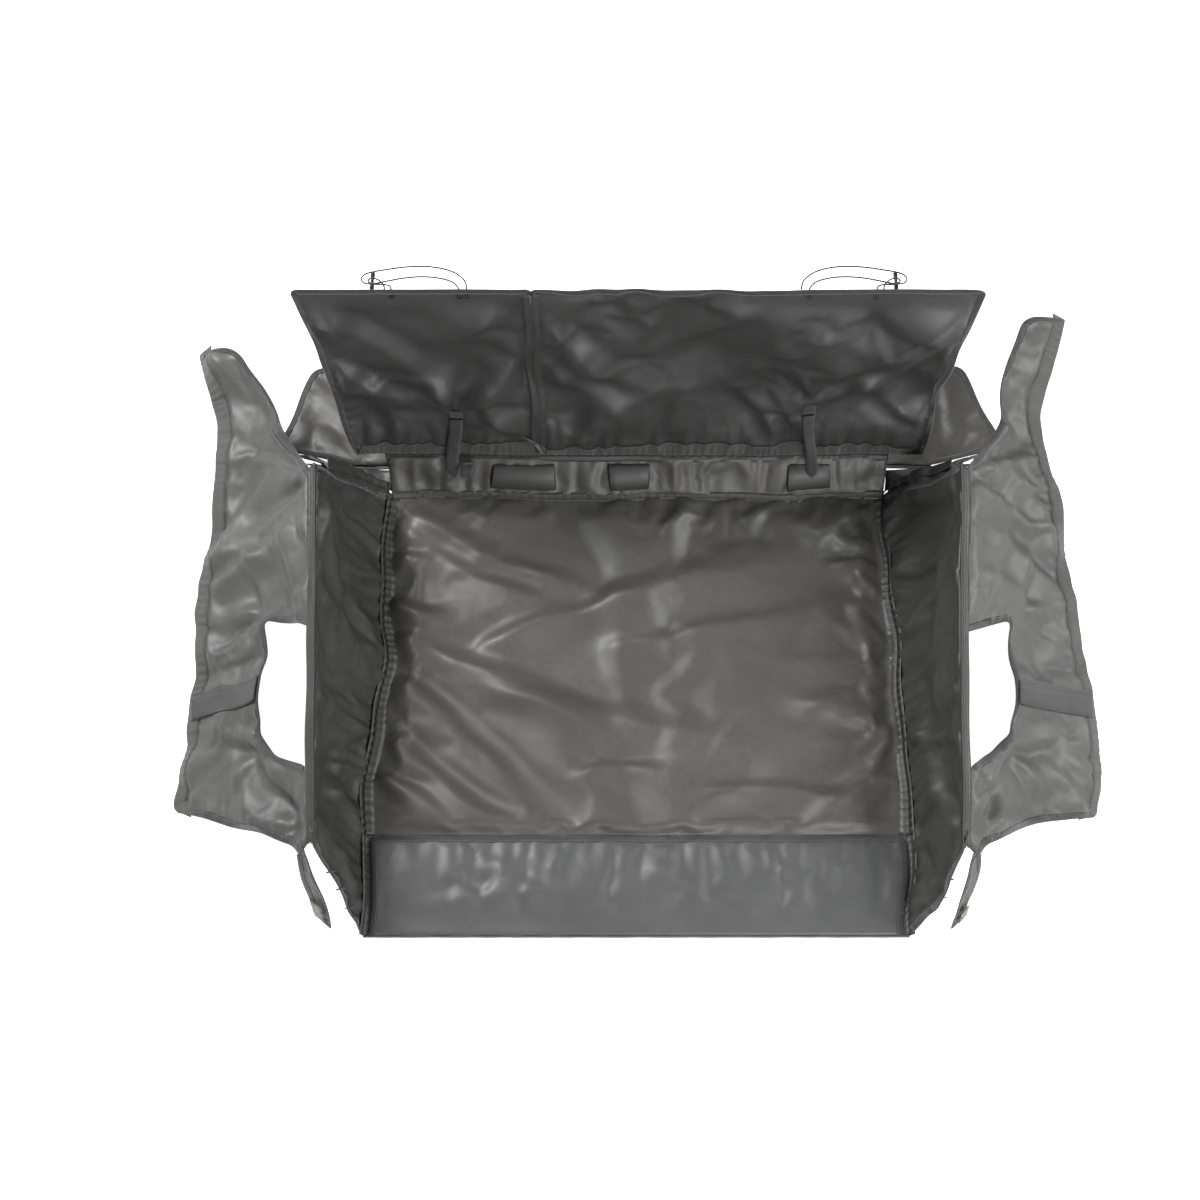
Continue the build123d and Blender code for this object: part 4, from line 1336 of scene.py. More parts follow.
# ---------------------------------------------------------------- floor, sill and keepers
@dataclass
class FloorTray(Assembly):
    """The floor with its seams, the rear sill with its back, and the tether keepers."""

    half_w: float = 0.4985
    half_d: float = 0.45
    flap_reach: float = 0.186
    sill_run: float = 0.057
    sill_rise: float = 0.062
    sill_back: float = 0.010
    keepers: tuple[tuple[float, float], ...] = ((-0.224, 0.120), (-0.014, 0.085), (0.335, 0.090))
    keeper_height: float = 0.052
    keeper_bulge: float = 0.0105

    def __post_init__(self) -> None:
        """Lay out the cloth panels."""
        clear = -self.half_d + self.flap_reach
        floor_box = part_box("floor_panel")
        level = Place.level((0, 0, (floor_box[0].z + floor_box[1].z) / 2))
        w, d = self.half_w, self.half_d

        def share(flat: Array) -> Array:
            side = 1 - smooth(0.02, 0.14, w - np.abs(flat[:, 0]))
            rear = 1 - smooth(0.02, 0.12, d - flat[:, 1])
            return 0.28 + 0.55 * side + 0.5 * rear

        def damp(flat: Array) -> Array:
            return smooth(clear - 0.004, clear + 0.03, flat[:, 1])

        def billow(flat: Array) -> Array:
            inward = np.minimum(w - np.abs(flat[:, 0]), d - flat[:, 1])
            return 0.008 * smooth(0.0, 0.07, inward) * damp(flat)

        folds = [
            Crease((-0.490, 0.440), (0.04, 0.215), 0.020, 0.016, -0.045),
            Crease((-0.470, 0.380), (-0.15, 0.190), 0.013, 0.011, -0.020),
            Crease((-0.350, 0.085), (0.36, 0.310), 0.021, 0.016, 0.030),
            Crease((-0.10, 0.120), (0.42, 0.230), 0.015, 0.009, -0.020),
            Crease((-0.490, 0.150), (0.19, -0.080), 0.020, 0.017, -0.028),
            Crease((-0.30, 0.035), (0.02, -0.110), 0.014, 0.009, 0.014),
            Crease((-0.480, 0.070), (-0.16, -0.245), 0.014, 0.015, 0.018),
            Crease((-0.480, -0.030), (-0.26, -0.240), 0.012, 0.013, -0.012),
            Crease((-0.480, -0.140), (-0.34, -0.255), 0.010, 0.010, 0.006),
            Crease((-0.130, -0.150), (0.09, -0.150), 0.012, 0.009, 0.020),
            Crease((0.100, -0.170), (0.45, -0.215), 0.014, 0.011, 0.018),
            Crease((0.490, 0.425), (0.33, 0.300), 0.015, 0.017, -0.012),
            Crease((0.490, 0.330), (0.30, 0.380), 0.013, 0.013, 0.012),
            Crease((0.490, 0.210), (0.36, 0.290), 0.013, 0.015, -0.010),
            Crease((0.490, 0.120), (0.30, 0.060), 0.013, 0.012, 0.012),
            Crease((0.490, -0.060), (0.25, 0.010), 0.013, 0.011, -0.012),
            Crease((0.040, 0.350), (0.11, 0.430), 0.010, 0.010, 0.006),
            Crease((0.250, 0.430), (0.21, 0.340), 0.010, 0.010, -0.006),
            Crease((-0.200, 0.430), (-0.13, 0.340), 0.010, 0.009, 0.006),
            Crease((-0.490, 0.310), (-0.37, 0.270), 0.012, 0.014, 0.010),
            Crease((-0.490, 0.230), (-0.38, 0.180), 0.012, 0.013, -0.008),
        ]
        self.floor = Panel(
            "floor_sheet", level, outline((-w, -d, 0), (w, -d, 0), (w, d, 0), (-w, d, 0)),
            spacing=0.0095, seed=3.1, growth=0.055, share=share, damp=damp, grounded=True, limit=0.020,
            rise=billow, creases=folds, tack=lambda flat: 1 - smooth(clear - 0.05, clear, flat[:, 1]),
            bending=2.0,
        )
        rise = math.hypot(self.sill_run, self.sill_rise)
        self.slope = Place.make((0, d, 0.003), (1, 0, 0), (0, self.sill_run, self.sill_rise), (0, -1, 1))
        half = w - 0.002

        def pucker(flat: Array) -> Array:
            pleats = perlin(stretch(flat, 2.6, 0.5), 0.045, 5.0)
            return 0.0035 * pleats * np.sin(np.pi * np.clip(flat[:, 1] / rise, 0, 1)) ** 0.7

        self.sill = Panel(
            "sill_sheet", self.slope, outline((-half, 0.001, 0), (half, 0.001, 0), (half, rise - 0.001, 0),
                                              (-half, rise - 0.001, 0)),
            spacing=0.008, seed=8.2, growth=0.03, rise=pucker, limit=0.004,
        )
        top_y, top_z = d + self.sill_run, self.sill_rise + 0.002
        drop = math.hypot(self.sill_back, top_z)
        back = Place.make((0, top_y + self.sill_back, 0.001), (1, 0, 0), (0, -self.sill_back, top_z),
                          (0, 1, 0.2))
        self.back = Panel(
            "sill_back_sheet", back, outline((-half, 0.001, 0), (half, 0.001, 0), (half, drop - 0.002, 0),
                                             (-half, drop - 0.002, 0)),
            spacing=0.010, seed=9.9, growth=0.02, limit=0.003,
        )

    def make_seams(self, wardrobe: Wardrobe) -> None:
        """Gathered seam tapes along the floor's sides and its rear edge."""
        parts = []
        start = -self.half_d + self.flap_reach + 0.004
        for side in Side:
            x = side.value * (self.half_w + 0.0005)
            line = np.array([(x, start, 0.0015), (x, self.half_d - 0.009, 0.0015)])
            inward = np.array([-side.value, 0, 0.02])
            parts.append(seam_strip(f"seam_{side.word}", line, inward, np.array([0, 0, 0.1]),
                                    np.array([0, 0, 1.0]),
                                    0.019, 0.0050, 0.0030, 2.0 + side.value))
        seams = joined("floor_seam_tapes", parts)
        wardrobe.fit(seams, "wall_cloth", "floor", ["floor_seams"])
        line = np.array([(-self.half_w, self.half_d, 0.0022), (self.half_w, self.half_d, 0.0022)])
        rear = seam_strip("sill_foot_seam", line, np.array([0, -1.0, 0]), self.slope.y, unit((0, -0.5, 1)),
                          0.009, 0.0022, 0.0010, 6.0)
        wardrobe.fit(rear, "wall_cloth", "floor")
        top = np.array([(-self.half_w, self.half_d + self.sill_run, self.sill_rise + 0.0025),
                        (self.half_w, self.half_d + self.sill_run, self.sill_rise + 0.0025)])
        cap = seam_strip("sill_top_seam", top, -self.slope.y, unit((0, 0.16, -1)), unit((0, 0.2, 1)), 0.010,
                         0.0012, 0.0008, 8.0)
        wardrobe.fit(cap, "wall_cloth", "floor")

    def make_keepers(self, wardrobe: Wardrobe) -> None:
        """Keepers that stand off the sill between their two sewn edges."""
        rise = math.hypot(self.sill_run, self.sill_rise)
        low = (rise - self.keeper_height) / 2
        parts = []
        for centre, width in self.keepers:
            marks = np.linspace(0, 1, 25)
            arch = np.clip(np.sin(np.pi * marks), 0, 1) ** 0.45
            path = [self.slope.at(centre, low + self.keeper_height * m, 0.0022 + self.keeper_bulge * a)
                    for m, a in zip(marks, arch)]
            parts.append(ribbon(f"keeper_{centre}", np.array(path), width, 0.0018, (1, 0, 0)))
        keepers = joined("tether_keeper_webs", parts)
        wardrobe.fit(keepers, "wall_cloth", "floor", ["tether_keepers"])

    def finish(self, wardrobe: Wardrobe) -> None:
        """Dress and place everything."""
        finish_panel(self.floor, wardrobe, "liner_cloth", "floor", ["floor_panel"])
        finish_panel(self.sill, wardrobe, "liner_cloth", "floor", ["rear_sill"])
        finish_panel(self.back, wardrobe, "wall_cloth", "floor", ["rear_sill_back"])
        self.make_seams(wardrobe)
        self.make_keepers(wardrobe)


# ---------------------------------------------------------------- bumper flap
@dataclass
class BumperFlap(Assembly):
    """The flap that folds out over a bumper, here folded in over the floor."""

    half_w: float = 0.488
    length: float = 0.186

    def __post_init__(self) -> None:
        """Lay out the flap's panel."""
        fold = joint("bumper_fold")["pos_m"]
        low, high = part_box("bumper_flap")
        self.fold_y = fold[1]
        place = Place.level((0, fold[1], (low.z + high.z) / 2 + 0.0012))
        w, depth = self.half_w, self.length

        def rise(flat: Array) -> Array:
            v = flat[:, 1] / depth
            swell = 0.006 * np.sin(np.pi * np.clip(v, 0, 1)) ** 0.8 * smooth(0.0, 0.45, v)
            pleats = perlin(stretch(flat, 1.8, 0.35), 0.05, 12.0)
            return swell + 0.0030 * (0.6 + pleats) * smooth(0.45, 0.80, v) * (1 - smooth(0.9, 1.0, v) * 0.7)

        folds = [
            Crease((-0.42, 0.05), (-0.10, 0.08), 0.014, 0.005, 0.01),
            Crease((0.10, 0.06), (0.44, 0.06), 0.014, 0.005, -0.008),
            *[Crease((x, 0.172), (x + 0.03 * math.sin(9 * x), 0.10), 0.012, 0.0040 + 0.002 * math.sin(31 * x))
              for x in (-0.43, -0.33, -0.25, -0.14, -0.03, 0.05, 0.15, 0.23, 0.34, 0.42)],
            Crease((-0.30, 0.15), (-0.18, 0.04), 0.016, 0.0060, 0.01),
            Crease((0.02, 0.14), (0.16, 0.05), 0.016, 0.0060, -0.012),
            Crease((0.40, 0.15), (0.27, 0.06), 0.016, 0.0060, 0.01),
        ]
        self.flap = Panel(
            "bumper_flap_sheet", place,
            outline((-w, 0.0015, 0), (w, 0.0015, 0), (w, depth, 0.04), (-w, depth, 0.04)),
            trims=trimmed((1, 2, 3)), spacing=0.009, seed=14.0, growth=0.02,
            rise=rise, grounded=True, limit=0.005, creases=folds,
            damp=lambda flat: smooth(0.0, 0.10, flat[:, 1]),
        )

    def finish(self, wardrobe: Wardrobe) -> None:
        """Dress and place the flap and its rolled fold."""
        finish_panel(self.flap, wardrobe, "skirt_cloth", "bumper", ["bumper_flap"],
                     "bumper_flap_binding", ["bumper_binding"])
        line = np.array([(-self.half_w - 0.010, self.fold_y, 0.0024),
                         (self.half_w + 0.010, self.fold_y, 0.0024)])
        where, run = resample(line, 0.006)
        spots = sampled(line, where)
        spots[:, 2] += 0.0004 * np.sin(run / 0.013)
        wobble = 0.0026 + 0.0004 * perlin(np.stack([run, run * 0], axis=1), 0.03, 4.0)
        roll = tube("bumper_fold_roll", spots, wobble, 10)
        wardrobe.fit(roll, "skirt_cloth", ("floor", "bumper"), (),
                     (line[0] - (0, 0.003, 0), line[0] + (0, 0.003, 0)))


# ---------------------------------------------------------------- side walls
@dataclass
class SideWall(Assembly):
    """One leaning side wall with its bindings, foot and ridge seams, ties and rear gusset."""

    side: Side
    lean: float = WALL_LEAN
    half_d: float = 0.45
    front_setback: float = 0.100
    rear_setback: float = 0.087
    front_height: float = 0.200
    rear_height: float = 0.300
    ridge_gap: float = 0.0050

    def __post_init__(self) -> None:
        """Lay out the wall and gusset."""
        word, side = self.side.word, self.side
        self.foot = joint(f"wall_fold_{word}")["pos_m"]
        slope = (math.sin(self.lean), 0, math.cos(self.lean))
        right = Place.make((abs(self.foot[0]), 0, self.foot[2]), (0, 1, 0), slope, (-1, 0, 0.3))
        self.place = right.on(side)
        front, rear = self.front_height / math.cos(self.lean), self.rear_height / math.cos(self.lean)
        d = self.half_d

        def share(flat: Array) -> Array:
            return 0.45 + 0.55 * (1 - smooth(0.0, 0.09, flat[:, 1]))

        def rise(flat: Array) -> Array:
            pleats = perlin(stretch(flat, 2.2, 0.35), 0.05, 21.0 + side.value)
            belly = 0.005 * np.sin(np.pi * np.clip(flat[:, 1] / 0.26, 0, 1))
            return 0.008 * pleats * np.sin(np.pi * np.clip(flat[:, 1] / 0.16, 0, 1)) - belly

        folds = [
            Crease((-0.40, 0.01), (-0.28, 0.15), 0.012, 0.012, 0.01),
            Crease((-0.25, 0.01), (-0.20, 0.16), 0.010, 0.011, -0.008),
            Crease((-0.06, 0.01), (-0.13, 0.18), 0.011, 0.012, 0.01),
            Crease((0.10, 0.01), (0.19, 0.21), 0.012, 0.012, -0.01),
            Crease((0.27, 0.01), (0.22, 0.22), 0.010, 0.012, 0.01),
            Crease((0.41, 0.02), (0.33, 0.26), 0.013, 0.014, -0.012),
            Crease((0.33, 0.29), (0.02, 0.11), 0.014, 0.011, 0.02),
            Crease((-0.33, 0.18), (-0.08, 0.07), 0.012, 0.009, -0.015),
        ]
        self.wall = Panel(
            f"wall_sheet_{word}", self.place,
            outline((-d, 0.0015, 0), (d, 0.0015, 0), (d - self.rear_setback, rear - self.ridge_gap, 0.02),
                    (self.front_setback - d, front - self.ridge_gap, 0.02)),
            trims=trimmed((1, 3)), spacing=0.0088, seed=20.0 + 3 * side.value, growth=0.07,
            share=share, rise=rise, creases=folds, limit=0.016, bending=1.2,
        )
        hinge_y, hinge_z = d + 0.009, 0.006
        foot = right.at(hinge_y, hinge_z)
        top = right.at(d - self.rear_setback * 0.82 + 0.009, rear * 0.82)
        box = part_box(f"rear_gusset_{word}")
        corner = np.array([max(abs(box[0].x), abs(box[1].x)) - 0.001, box[1].y - 0.001, 0.006])
        along = corner - foot
        up = np.cross(np.cross(along, top - foot), along)
        local = Place.make(foot, along, up, (-0.3, 1, 0.2))
        self.gusset_place = local.on(side)
        tip = local.local(top[None, :])[0]
        reach = float(np.linalg.norm(along))
        self.gusset = Panel(
            f"gusset_sheet_{word}", self.gusset_place,
            outline((0, 0, 0), (reach, 0, 0.04), (tip[0], tip[1], 0.03)),
            trims=trimmed((1,)), spacing=0.009, seed=31.0 + side.value, growth=0.03, limit=0.006,
            creases=[Crease((0.03, 0.01), (tip[0] + 0.02, tip[1] * 0.7), 0.009, 0.004),
                     Crease((0.12, 0.01), (0.05, 0.12), 0.009, -0.004)],
        )

        level = Place.level((0, 0, 0.0022)).on(side)
        rear_y = corner[1] - 0.038
        # A level sheet at the gusset's foot; it wears the flap's darker cloth as painted shade.
        self.foot_cloth = Panel(
            f"gusset_foot_sheet_{word}", level,
            outline((0.4985, d + 0.004, 0), (foot[0], foot[1], 0), (corner[0] - 0.015, rear_y + 0.018, 0.03),
                    (0.4985, rear_y, 0)),
            spacing=0.008, seed=35.0 + side.value, growth=0.04, limit=0.008, grounded=True,
            rise=lambda flat: 0.001 + 0.003 * np.abs(perlin(flat, 0.04, 36.0 + side.value)),
        )

    def finish(self, wardrobe: Wardrobe) -> None:
        """Dress and place the wall, its seams, ties and gusset."""
        word, side = self.side.word, self.side
        body = f"wall_{word}"
        finish_panel(self.wall, wardrobe, "wall_cloth", body, [f"wall_{word}"],
                     f"wall_edge_binding_{word}", [f"wall_binding_{word}"])
        line = np.array([side.turn((0.5, -self.half_d, 0.001)), side.turn((0.5, self.half_d, 0.001))])
        inward = side.turn((-1, 0, 0))
        foot = seam_strip(f"foot_seam_{word}", line, inward, self.place.y, unit(side.turn((-0.7, 0, 0.72))),
                          0.015, 0.0024, 0.0022, 3.3 * side.value)
        wardrobe.fit(foot, "wall_cloth", ("floor", body), (),
                     (line[0] * (1, 0, 1) + inward * 0.012,
                      line[0] * (1, 0, 1) + self.place.y * 0.012))
        finish_panel(self.gusset, wardrobe, "wall_cloth", "floor", [f"rear_gusset_{word}"],
                     f"gusset_binding_{word}")
        # The foot sheet's darker cloth is painted shade where the rear corner is shaded.
        finish_panel(self.foot_cloth, wardrobe, "flap_cloth", "floor", [])
        self.make_rear_corner(wardrobe)
        self.make_ties(wardrobe)

    def make_rear_corner(self, wardrobe: Wardrobe) -> None:
        """The folded strip that closes the corner between the wall's rear edge and the gusset."""
        word = self.side.word
        rear = self.rear_height / math.cos(self.lean)
        away = unit((rear, self.rear_setback))
        back = self.place.x * away[0] + self.place.y * away[1]
        shares = np.linspace(0.0, 0.80, 30)
        path = np.array([
            self.place.at(self.half_d - self.rear_setback * t, 0.004 + rear * t,
                          -0.004 + 0.002 * math.sin(40 * t)) for t in shares
        ])
        strip = ribbon(f"rear_corner_strip_{word}", path + back * 0.010, 0.034, 0.0016, back)
        wardrobe.fit(strip, "wall_cloth", ("floor", f"wall_{word}"), (),
                     (path[0] + back * 0.020, path[0] + back * 0.001))

    def make_ties(self, wardrobe: Wardrobe) -> None:
        """Thin lacing ties along the wall's front edge."""
        word = self.side.word
        front = self.front_height / math.cos(self.lean)
        parts = []
        for number, share in enumerate((0.3, 0.5, 0.68)):
            start = self.place.at(self.front_setback * share - self.half_d + 0.004, front * share, 0.0012)
            away = self.side.turn((1, 0, 0))
            path = [start - away * 0.004, start + away * 0.004 + (0, 0, 0.0008),
                    start + away * 0.0125 + (0, 0, -0.001)]
            parts.append(ribbon(f"tie_{number}", eased(np.array(path), 0.0025), 0.0045, 0.0011, (0, 0, 1)))
        ties = joined(f"lacing_ties_{word}", parts)
        wardrobe.fit(ties, "webbing", f"wall_{word}", [f"corner_ties_{word}"])


# ---------------------------------------------------------------- side wings
@dataclass
class SideWing(Assembly):
    """One side wing: ridge tape, front and rear panels, hems, closure tab and hook-and-loop strips."""

    side: Side
    start_v: float = 0.0152
    reach: float = 0.356
    tip_past: float = 0.319
    closure_u: float = 0.312
    closure_w: float = 0.052
    cutout_v: float = 0.137

    def __post_init__(self) -> None:
        """Lay out both panels."""
        word, side = self.side.word, self.side
        ridge, peel = joint("ridge_fold_right"), joint("closure_peel_right")
        along, out = -unit(ridge["axis"]), -unit(peel["axis"])
        right = Place.make(ridge["pos_m"], along, out, (0.4, 0, 1))
        self.place = right.on(side)
        high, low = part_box("ridge_tape_right")[1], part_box("ridge_tape_right")[0]
        self.ridge_end = float(high.y - low.y) / along[1]
        tilt = side.value
        end, tip = self.ridge_end, self.ridge_end + self.tip_past + 0.010 + 0.034 * tilt

        def rise(flat: Array) -> Array:
            u, v = flat[:, 0], flat[:, 1]
            out_share = np.clip((v - self.start_v) / 0.32, 0, 1)
            sag = -0.010 * np.sin(np.pi * out_share) ** 1.5
            curl = 0.034 * smooth(end + 0.08, tip, u) * smooth(0.12, 0.27, v)
            pocket = -0.022 * np.exp(-(((u - end - 0.17) / 0.06) ** 2) - ((v - 0.19) / 0.05) ** 2)
            wave = 0.010 * perlin(stretch(flat, 1.0, 0.4), 0.13, 41.0 + tilt)
            flutter = 0.006 * perlin(stretch(flat, 1.6, 0.5), 0.06, 44.0 + tilt) * smooth(0.18, 0.33, v)
            near = smooth(0.015, 0.07, v)
            flat_zone = smooth(0.02, 0.07, np.abs(u - self.closure_u))
            return (sag + wave * near + flutter) * (0.25 + 0.75 * flat_zone) + curl + pocket

        def damp(flat: Array) -> Array:
            return 0.25 + 0.75 * smooth(0.015, 0.055, np.abs(flat[:, 0] - self.closure_u))

        def tack(flat: Array) -> Array:
            return 0.9 * (1 - smooth(0.0, 0.03, np.abs(flat[:, 0] - self.closure_u)))

        rear_folds = [
            *fans((end - 0.01, 0.02), (0.02, 0.26), (6, 24, 42, 62, 84, 108), 0.012, 0.015),
            *fans((0.46, 0.145), (0.01, 0.16), (16, 46, 76, 104), 0.011, 0.010),
            Crease((end + 0.30, 0.27), (end + 0.10, 0.16), 0.014, 0.016, 0.01),
            Crease((end + 0.26, 0.23), (end + 0.07, 0.12), 0.012, -0.014, -0.008),
            Crease((end - 0.14, 0.27), (end + 0.03, 0.12), 0.014, 0.014, 0.015),
            Crease((0.52, 0.28), (0.61, 0.05), 0.014, 0.012, 0.012),
            Crease((0.40, 0.05), (0.68, 0.15), 0.013, 0.010, -0.015),
        ]
        self.rear = Panel(
            f"wing_rear_sheet_{word}", self.place,
            outline((0.402, self.start_v, 0.03), (end - 0.004, self.start_v, 0.04),
                    (end + 0.069, 0.085, 0.45), (end + 0.164, 0.140, 0.45),
                    (tip - 0.012, self.tip_v() - 0.088, 0.38), (tip, self.tip_v(), 0.06),
                    (tip - 0.17, self.tip_v() - 0.025, 0.48), (0.50, 0.300, 0.48), (0.346, 0.338, 0.40),
                    (self.closure_u + 0.0004, 0.342, 0.0), (self.closure_u + 0.0004, self.cutout_v, 0.0),
                    (0.443, self.cutout_v, 0.14)),
            trims=trimmed((1, 2, 3, 4, 10, 11), (5, 6, 7, 8)),
            spacing=0.0085, seed=50.0 + tilt, growth=0.05, rise=rise, damp=damp, tack=tack,
            creases=rear_folds,
            limit=0.010,
        )
        front_folds = [
            *fans((0.05, 0.03), (0.02, 0.24), (34, 56, 80), 0.012, 0.012),
            *fans((0.20, 0.145), (0.01, 0.15), (66, 100, 134), 0.011, 0.010),
            Crease((0.10, 0.33), (0.20, 0.20), 0.013, 0.011, 0.01),
            Crease((0.02, 0.05), (0.14, 0.10), 0.010, -0.009),
        ]
        self.front = Panel(
            f"wing_front_sheet_{word}", self.place,
            outline((0.004, self.start_v, 0.03), (0.150, self.start_v, 0.20), (0.186, 0.090, 0.20),
                    (0.228, self.cutout_v, 0.14), (self.closure_u - 0.0004, self.cutout_v, 0.0),
                    (self.closure_u - 0.0004, 0.342, 0.0), (0.270, 0.349, 0.40),
                    (0.112, self.reach + 0.004, 0.10), (0.074, 0.188, 0.45), (0.020, 0.060, 0.40),
                    (-0.008, 0.038, 0.30)),
            trims=trimmed((1, 2, 3, 7, 8, 9, 10), (5, 6)),
            spacing=0.0085, seed=60.0 + tilt, growth=0.05, rise=rise, damp=damp, tack=tack,
            creases=front_folds,
            limit=0.009,
        )

    def tip_v(self) -> float:
        """How far out from the ridge the rear tip is."""
        return 0.262 if self.side is Side.RIGHT else 0.288

    def finish(self, wardrobe: Wardrobe) -> None:
        """Dress and place the wing's pieces."""
        word = self.side.word
        body = f"wing_{word}"
        hems, bindings = [], []
        for panel in (self.rear, self.front):
            for number, strip in enumerate(panel.strips(Trim.HEM)):
                ruffle = Ruffle(0.0150, 0.0015, 11.0 * number + self.side.value)
                hems.append(tape_over(f"hem_{number}", strip, 0.0034, 0.0032, ruffle, 5))
            bindings += [tape_over(f"bind_{k}", strip) for k, strip in enumerate(panel.strips(Trim.BINDING))]
        finish_panel(self.rear, wardrobe, "wing_cloth", body, [f"wing_rear_panel_{word}"])
        finish_panel(self.front, wardrobe, "wing_cloth", body, [f"wing_front_panel_{word}"])
        hem = joined(f"wing_elastic_hem_{word}", hems)
        wardrobe.fit(hem, "hem_tape_wing", body, [f"wing_hem_{word}"])
        binding = joined(f"wing_edge_binding_{word}", bindings)
        wardrobe.fit(binding, "binding_tape", body, [f"wing_binding_{word}"])
        self.make_ridge(wardrobe)
        self.make_closure(wardrobe)

    def make_ridge(self, wardrobe: Wardrobe) -> None:
        """The ridge tape, and the piped seams on each side of it, where the cloth folds."""
        word, side = self.side.word, self.side
        start, end = self.place.at(0.002, 0), self.place.at(self.ridge_end - 0.002, 0)
        line = np.array([start, end])
        down = side.turn((-math.sin(WALL_LEAN), 0, -math.cos(WALL_LEAN)))
        up = unit(side.turn((-0.35, 0, 0.95)))
        ridge = seam_strip(f"ridge_fold_seam_{word}", line, down, self.place.y, up, 0.0065, 0.0012, 0.0005,
                           5.0)
        wardrobe.fit(ridge, "wall_cloth", (f"wall_{word}", f"ridge_{word}"), (),
                     (start + down * 0.006, start + self.place.y * 0.006))
        tape_path = [self.place.at(u, 0.0079, 0.0002) for u in np.linspace(0.006, self.ridge_end - 0.006, 90)]
        tape = ribbon(f"ridge_tape_web_{word}", np.array(tape_path), 0.0082, 0.0020, self.place.y)
        wardrobe.fit(tape, "wall_cloth", f"ridge_{word}", [f"ridge_tape_{word}"])
        lift_line = np.array([self.place.at(0.004, 0.0137, 0.0),
                              self.place.at(self.ridge_end - 0.008, 0.0137, 0.0)])
        wing_seam = seam_strip(f"wing_lift_seam_{word}", lift_line, -self.place.y, self.place.y, self.place.z,
                               0.0045,
                               0.0007, 0.0004, 7.0)
        wardrobe.fit(wing_seam, "wall_cloth", (f"ridge_{word}", f"wing_{word}"), (),
                     (self.place.at(0, 0.0097), self.place.at(0, 0.0177)))

    def make_closure(self, wardrobe: Wardrobe) -> None:
        """The closure tab with its bound edges, and the hook and loop strips under it."""
        word = self.side.word
        near, far = self.cutout_v + 0.006, self.reach - 0.023
        marks = np.linspace(near, far, 40)
        height = 0.0052 + 0.0012 * perlin(np.stack([marks, marks * 0], axis=1), 0.05, 71.0 + self.side.value)
        base = self.rear.rise(np.stack([np.full(40, self.closure_u), marks], axis=1))
        path = np.array([self.place.at(self.closure_u - 0.001, v, h + b) for v, h,
                         b in zip(marks, height, base)])
        tab = ribbon(f"closure_tab_web_{word}", path, self.closure_w - 0.004, 0.0022, self.place.x)
        wardrobe.fit(tab, "webbing", f"closure_{word}", [f"closure_tab_{word}"])
        hook_path = path[2:-2] - self.place.z * 0.0018 - self.place.x * 0.012
        hook = ribbon(f"hook_strip_{word}", hook_path, 0.022, 0.0010, self.place.x)
        wardrobe.fit(hook, "hook_and_loop", f"closure_{word}", [f"hook_tape_{word}"])
        loop_path = path[2:-2] - self.place.z * 0.0030 - self.place.x * 0.012
        loop = ribbon(f"loop_strip_{word}", loop_path, 0.023, 0.0010, self.place.x)
        wardrobe.fit(loop, "hook_and_loop", f"wing_{word}", [f"loop_tape_{word}"])


# ---------------------------------------------------------------- corner tabs
@dataclass
class CornerTab(Assembly):
    """The tab that hangs from a wing's front corner, with its worn hook patch."""

    side: Side
    length: float = 0.176
    gap: float = 0.012
    top_w: float = 0.034
    foot_w: float = 0.056

    def __post_init__(self) -> None:
        """Lay out the tab."""
        word, side = self.side.word, self.side
        swing = joint("corner_tab_swing_right")
        across = -unit(swing["axis"])
        origin = np.array(swing["pos_m"])
        up = origin - middle("corner_hook_patch_right")
        up = up - across * np.dot(up, across)
        right = Place.make(origin, across, up, (-1, -0.3, 0.2))
        self.place = right.on(side)
        top, half, low = self.top_w / 2, self.foot_w / 2, -self.length
        self.tab = Panel(
            f"corner_tab_sheet_{word}", self.place,
            outline((-half, low, 0.08), (half, low, 0.08), (top, -self.gap, 0.05), (-top, -self.gap, 0.05)),
            trims=trimmed((0, 1, 3)), spacing=0.007, seed=80.0 + side.value,
            growth=0.03, limit=0.004, rise=lambda flat: 0.004 * np.sin(flat[:, 1] / 0.03),
        )

    def finish(self, wardrobe: Wardrobe) -> None:
        """Dress and place the tab, its hinge strip and its hook patch with frayed fibres."""
        word = self.side.word
        body = f"corner_{word}"
        finish_panel(self.tab, wardrobe, "wing_cloth", body, [f"corner_tab_{word}"],
                     f"corner_tab_tape_{word}", [f"corner_tab_binding_{word}"])
        line = np.array([self.place.at(0, 0.004), self.place.at(0, -0.004), self.place.at(0, -0.016)])
        strip = ribbon(f"corner_hinge_strip_{word}", eased(line, 0.003), self.top_w * 0.8, 0.0016,
                       self.place.x)
        wardrobe.fit(strip, "binding_tape", (f"wing_{word}", body), (),
                     (self.place.at(0, 0.003), self.place.at(0, -0.010)))
        rows = [self.place.at(0, -self.length + 0.013 + 0.036 * t, -0.0030)
                for t in np.linspace(0, 1, 9)]
        patch = ribbon(f"hook_patch_{word}", np.array(rows), 0.030, 0.0018, self.place.x)
        fibres = self.make_fibres(rows)
        worn = joined(f"worn_hook_patch_{word}", [patch, *fibres])
        wardrobe.fit(worn, "worn_hook", body, [f"corner_hook_patch_{word}"])

    def make_fibres(self, rows: Sequence[Array]) -> list[Piece]:
        """Frayed fibres that stand off the hook patch."""
        rng = np.random.default_rng(90 + self.side.value)
        fibres = []
        for number in range(70):
            start = rows[int(rng.integers(0, len(rows)))] + self.place.x * rng.uniform(-0.014, 0.014)
            off = -self.place.z * rng.uniform(0.4, 1)
            way = unit(off + self.place.x * rng.normal(0, 0.7) + self.place.y * rng.normal(0, 0.7))
            bend = unit(rng.normal(0, 1, 3)) * 0.0016
            length = rng.uniform(0.003, 0.007)
            path = eased(np.array([start, start + way * length * 0.5 + bend, start + way * length]), 0.0012)
            fibres.append(tube(f"fibre_{number}", path, 0.00022, 4))
        return fibres


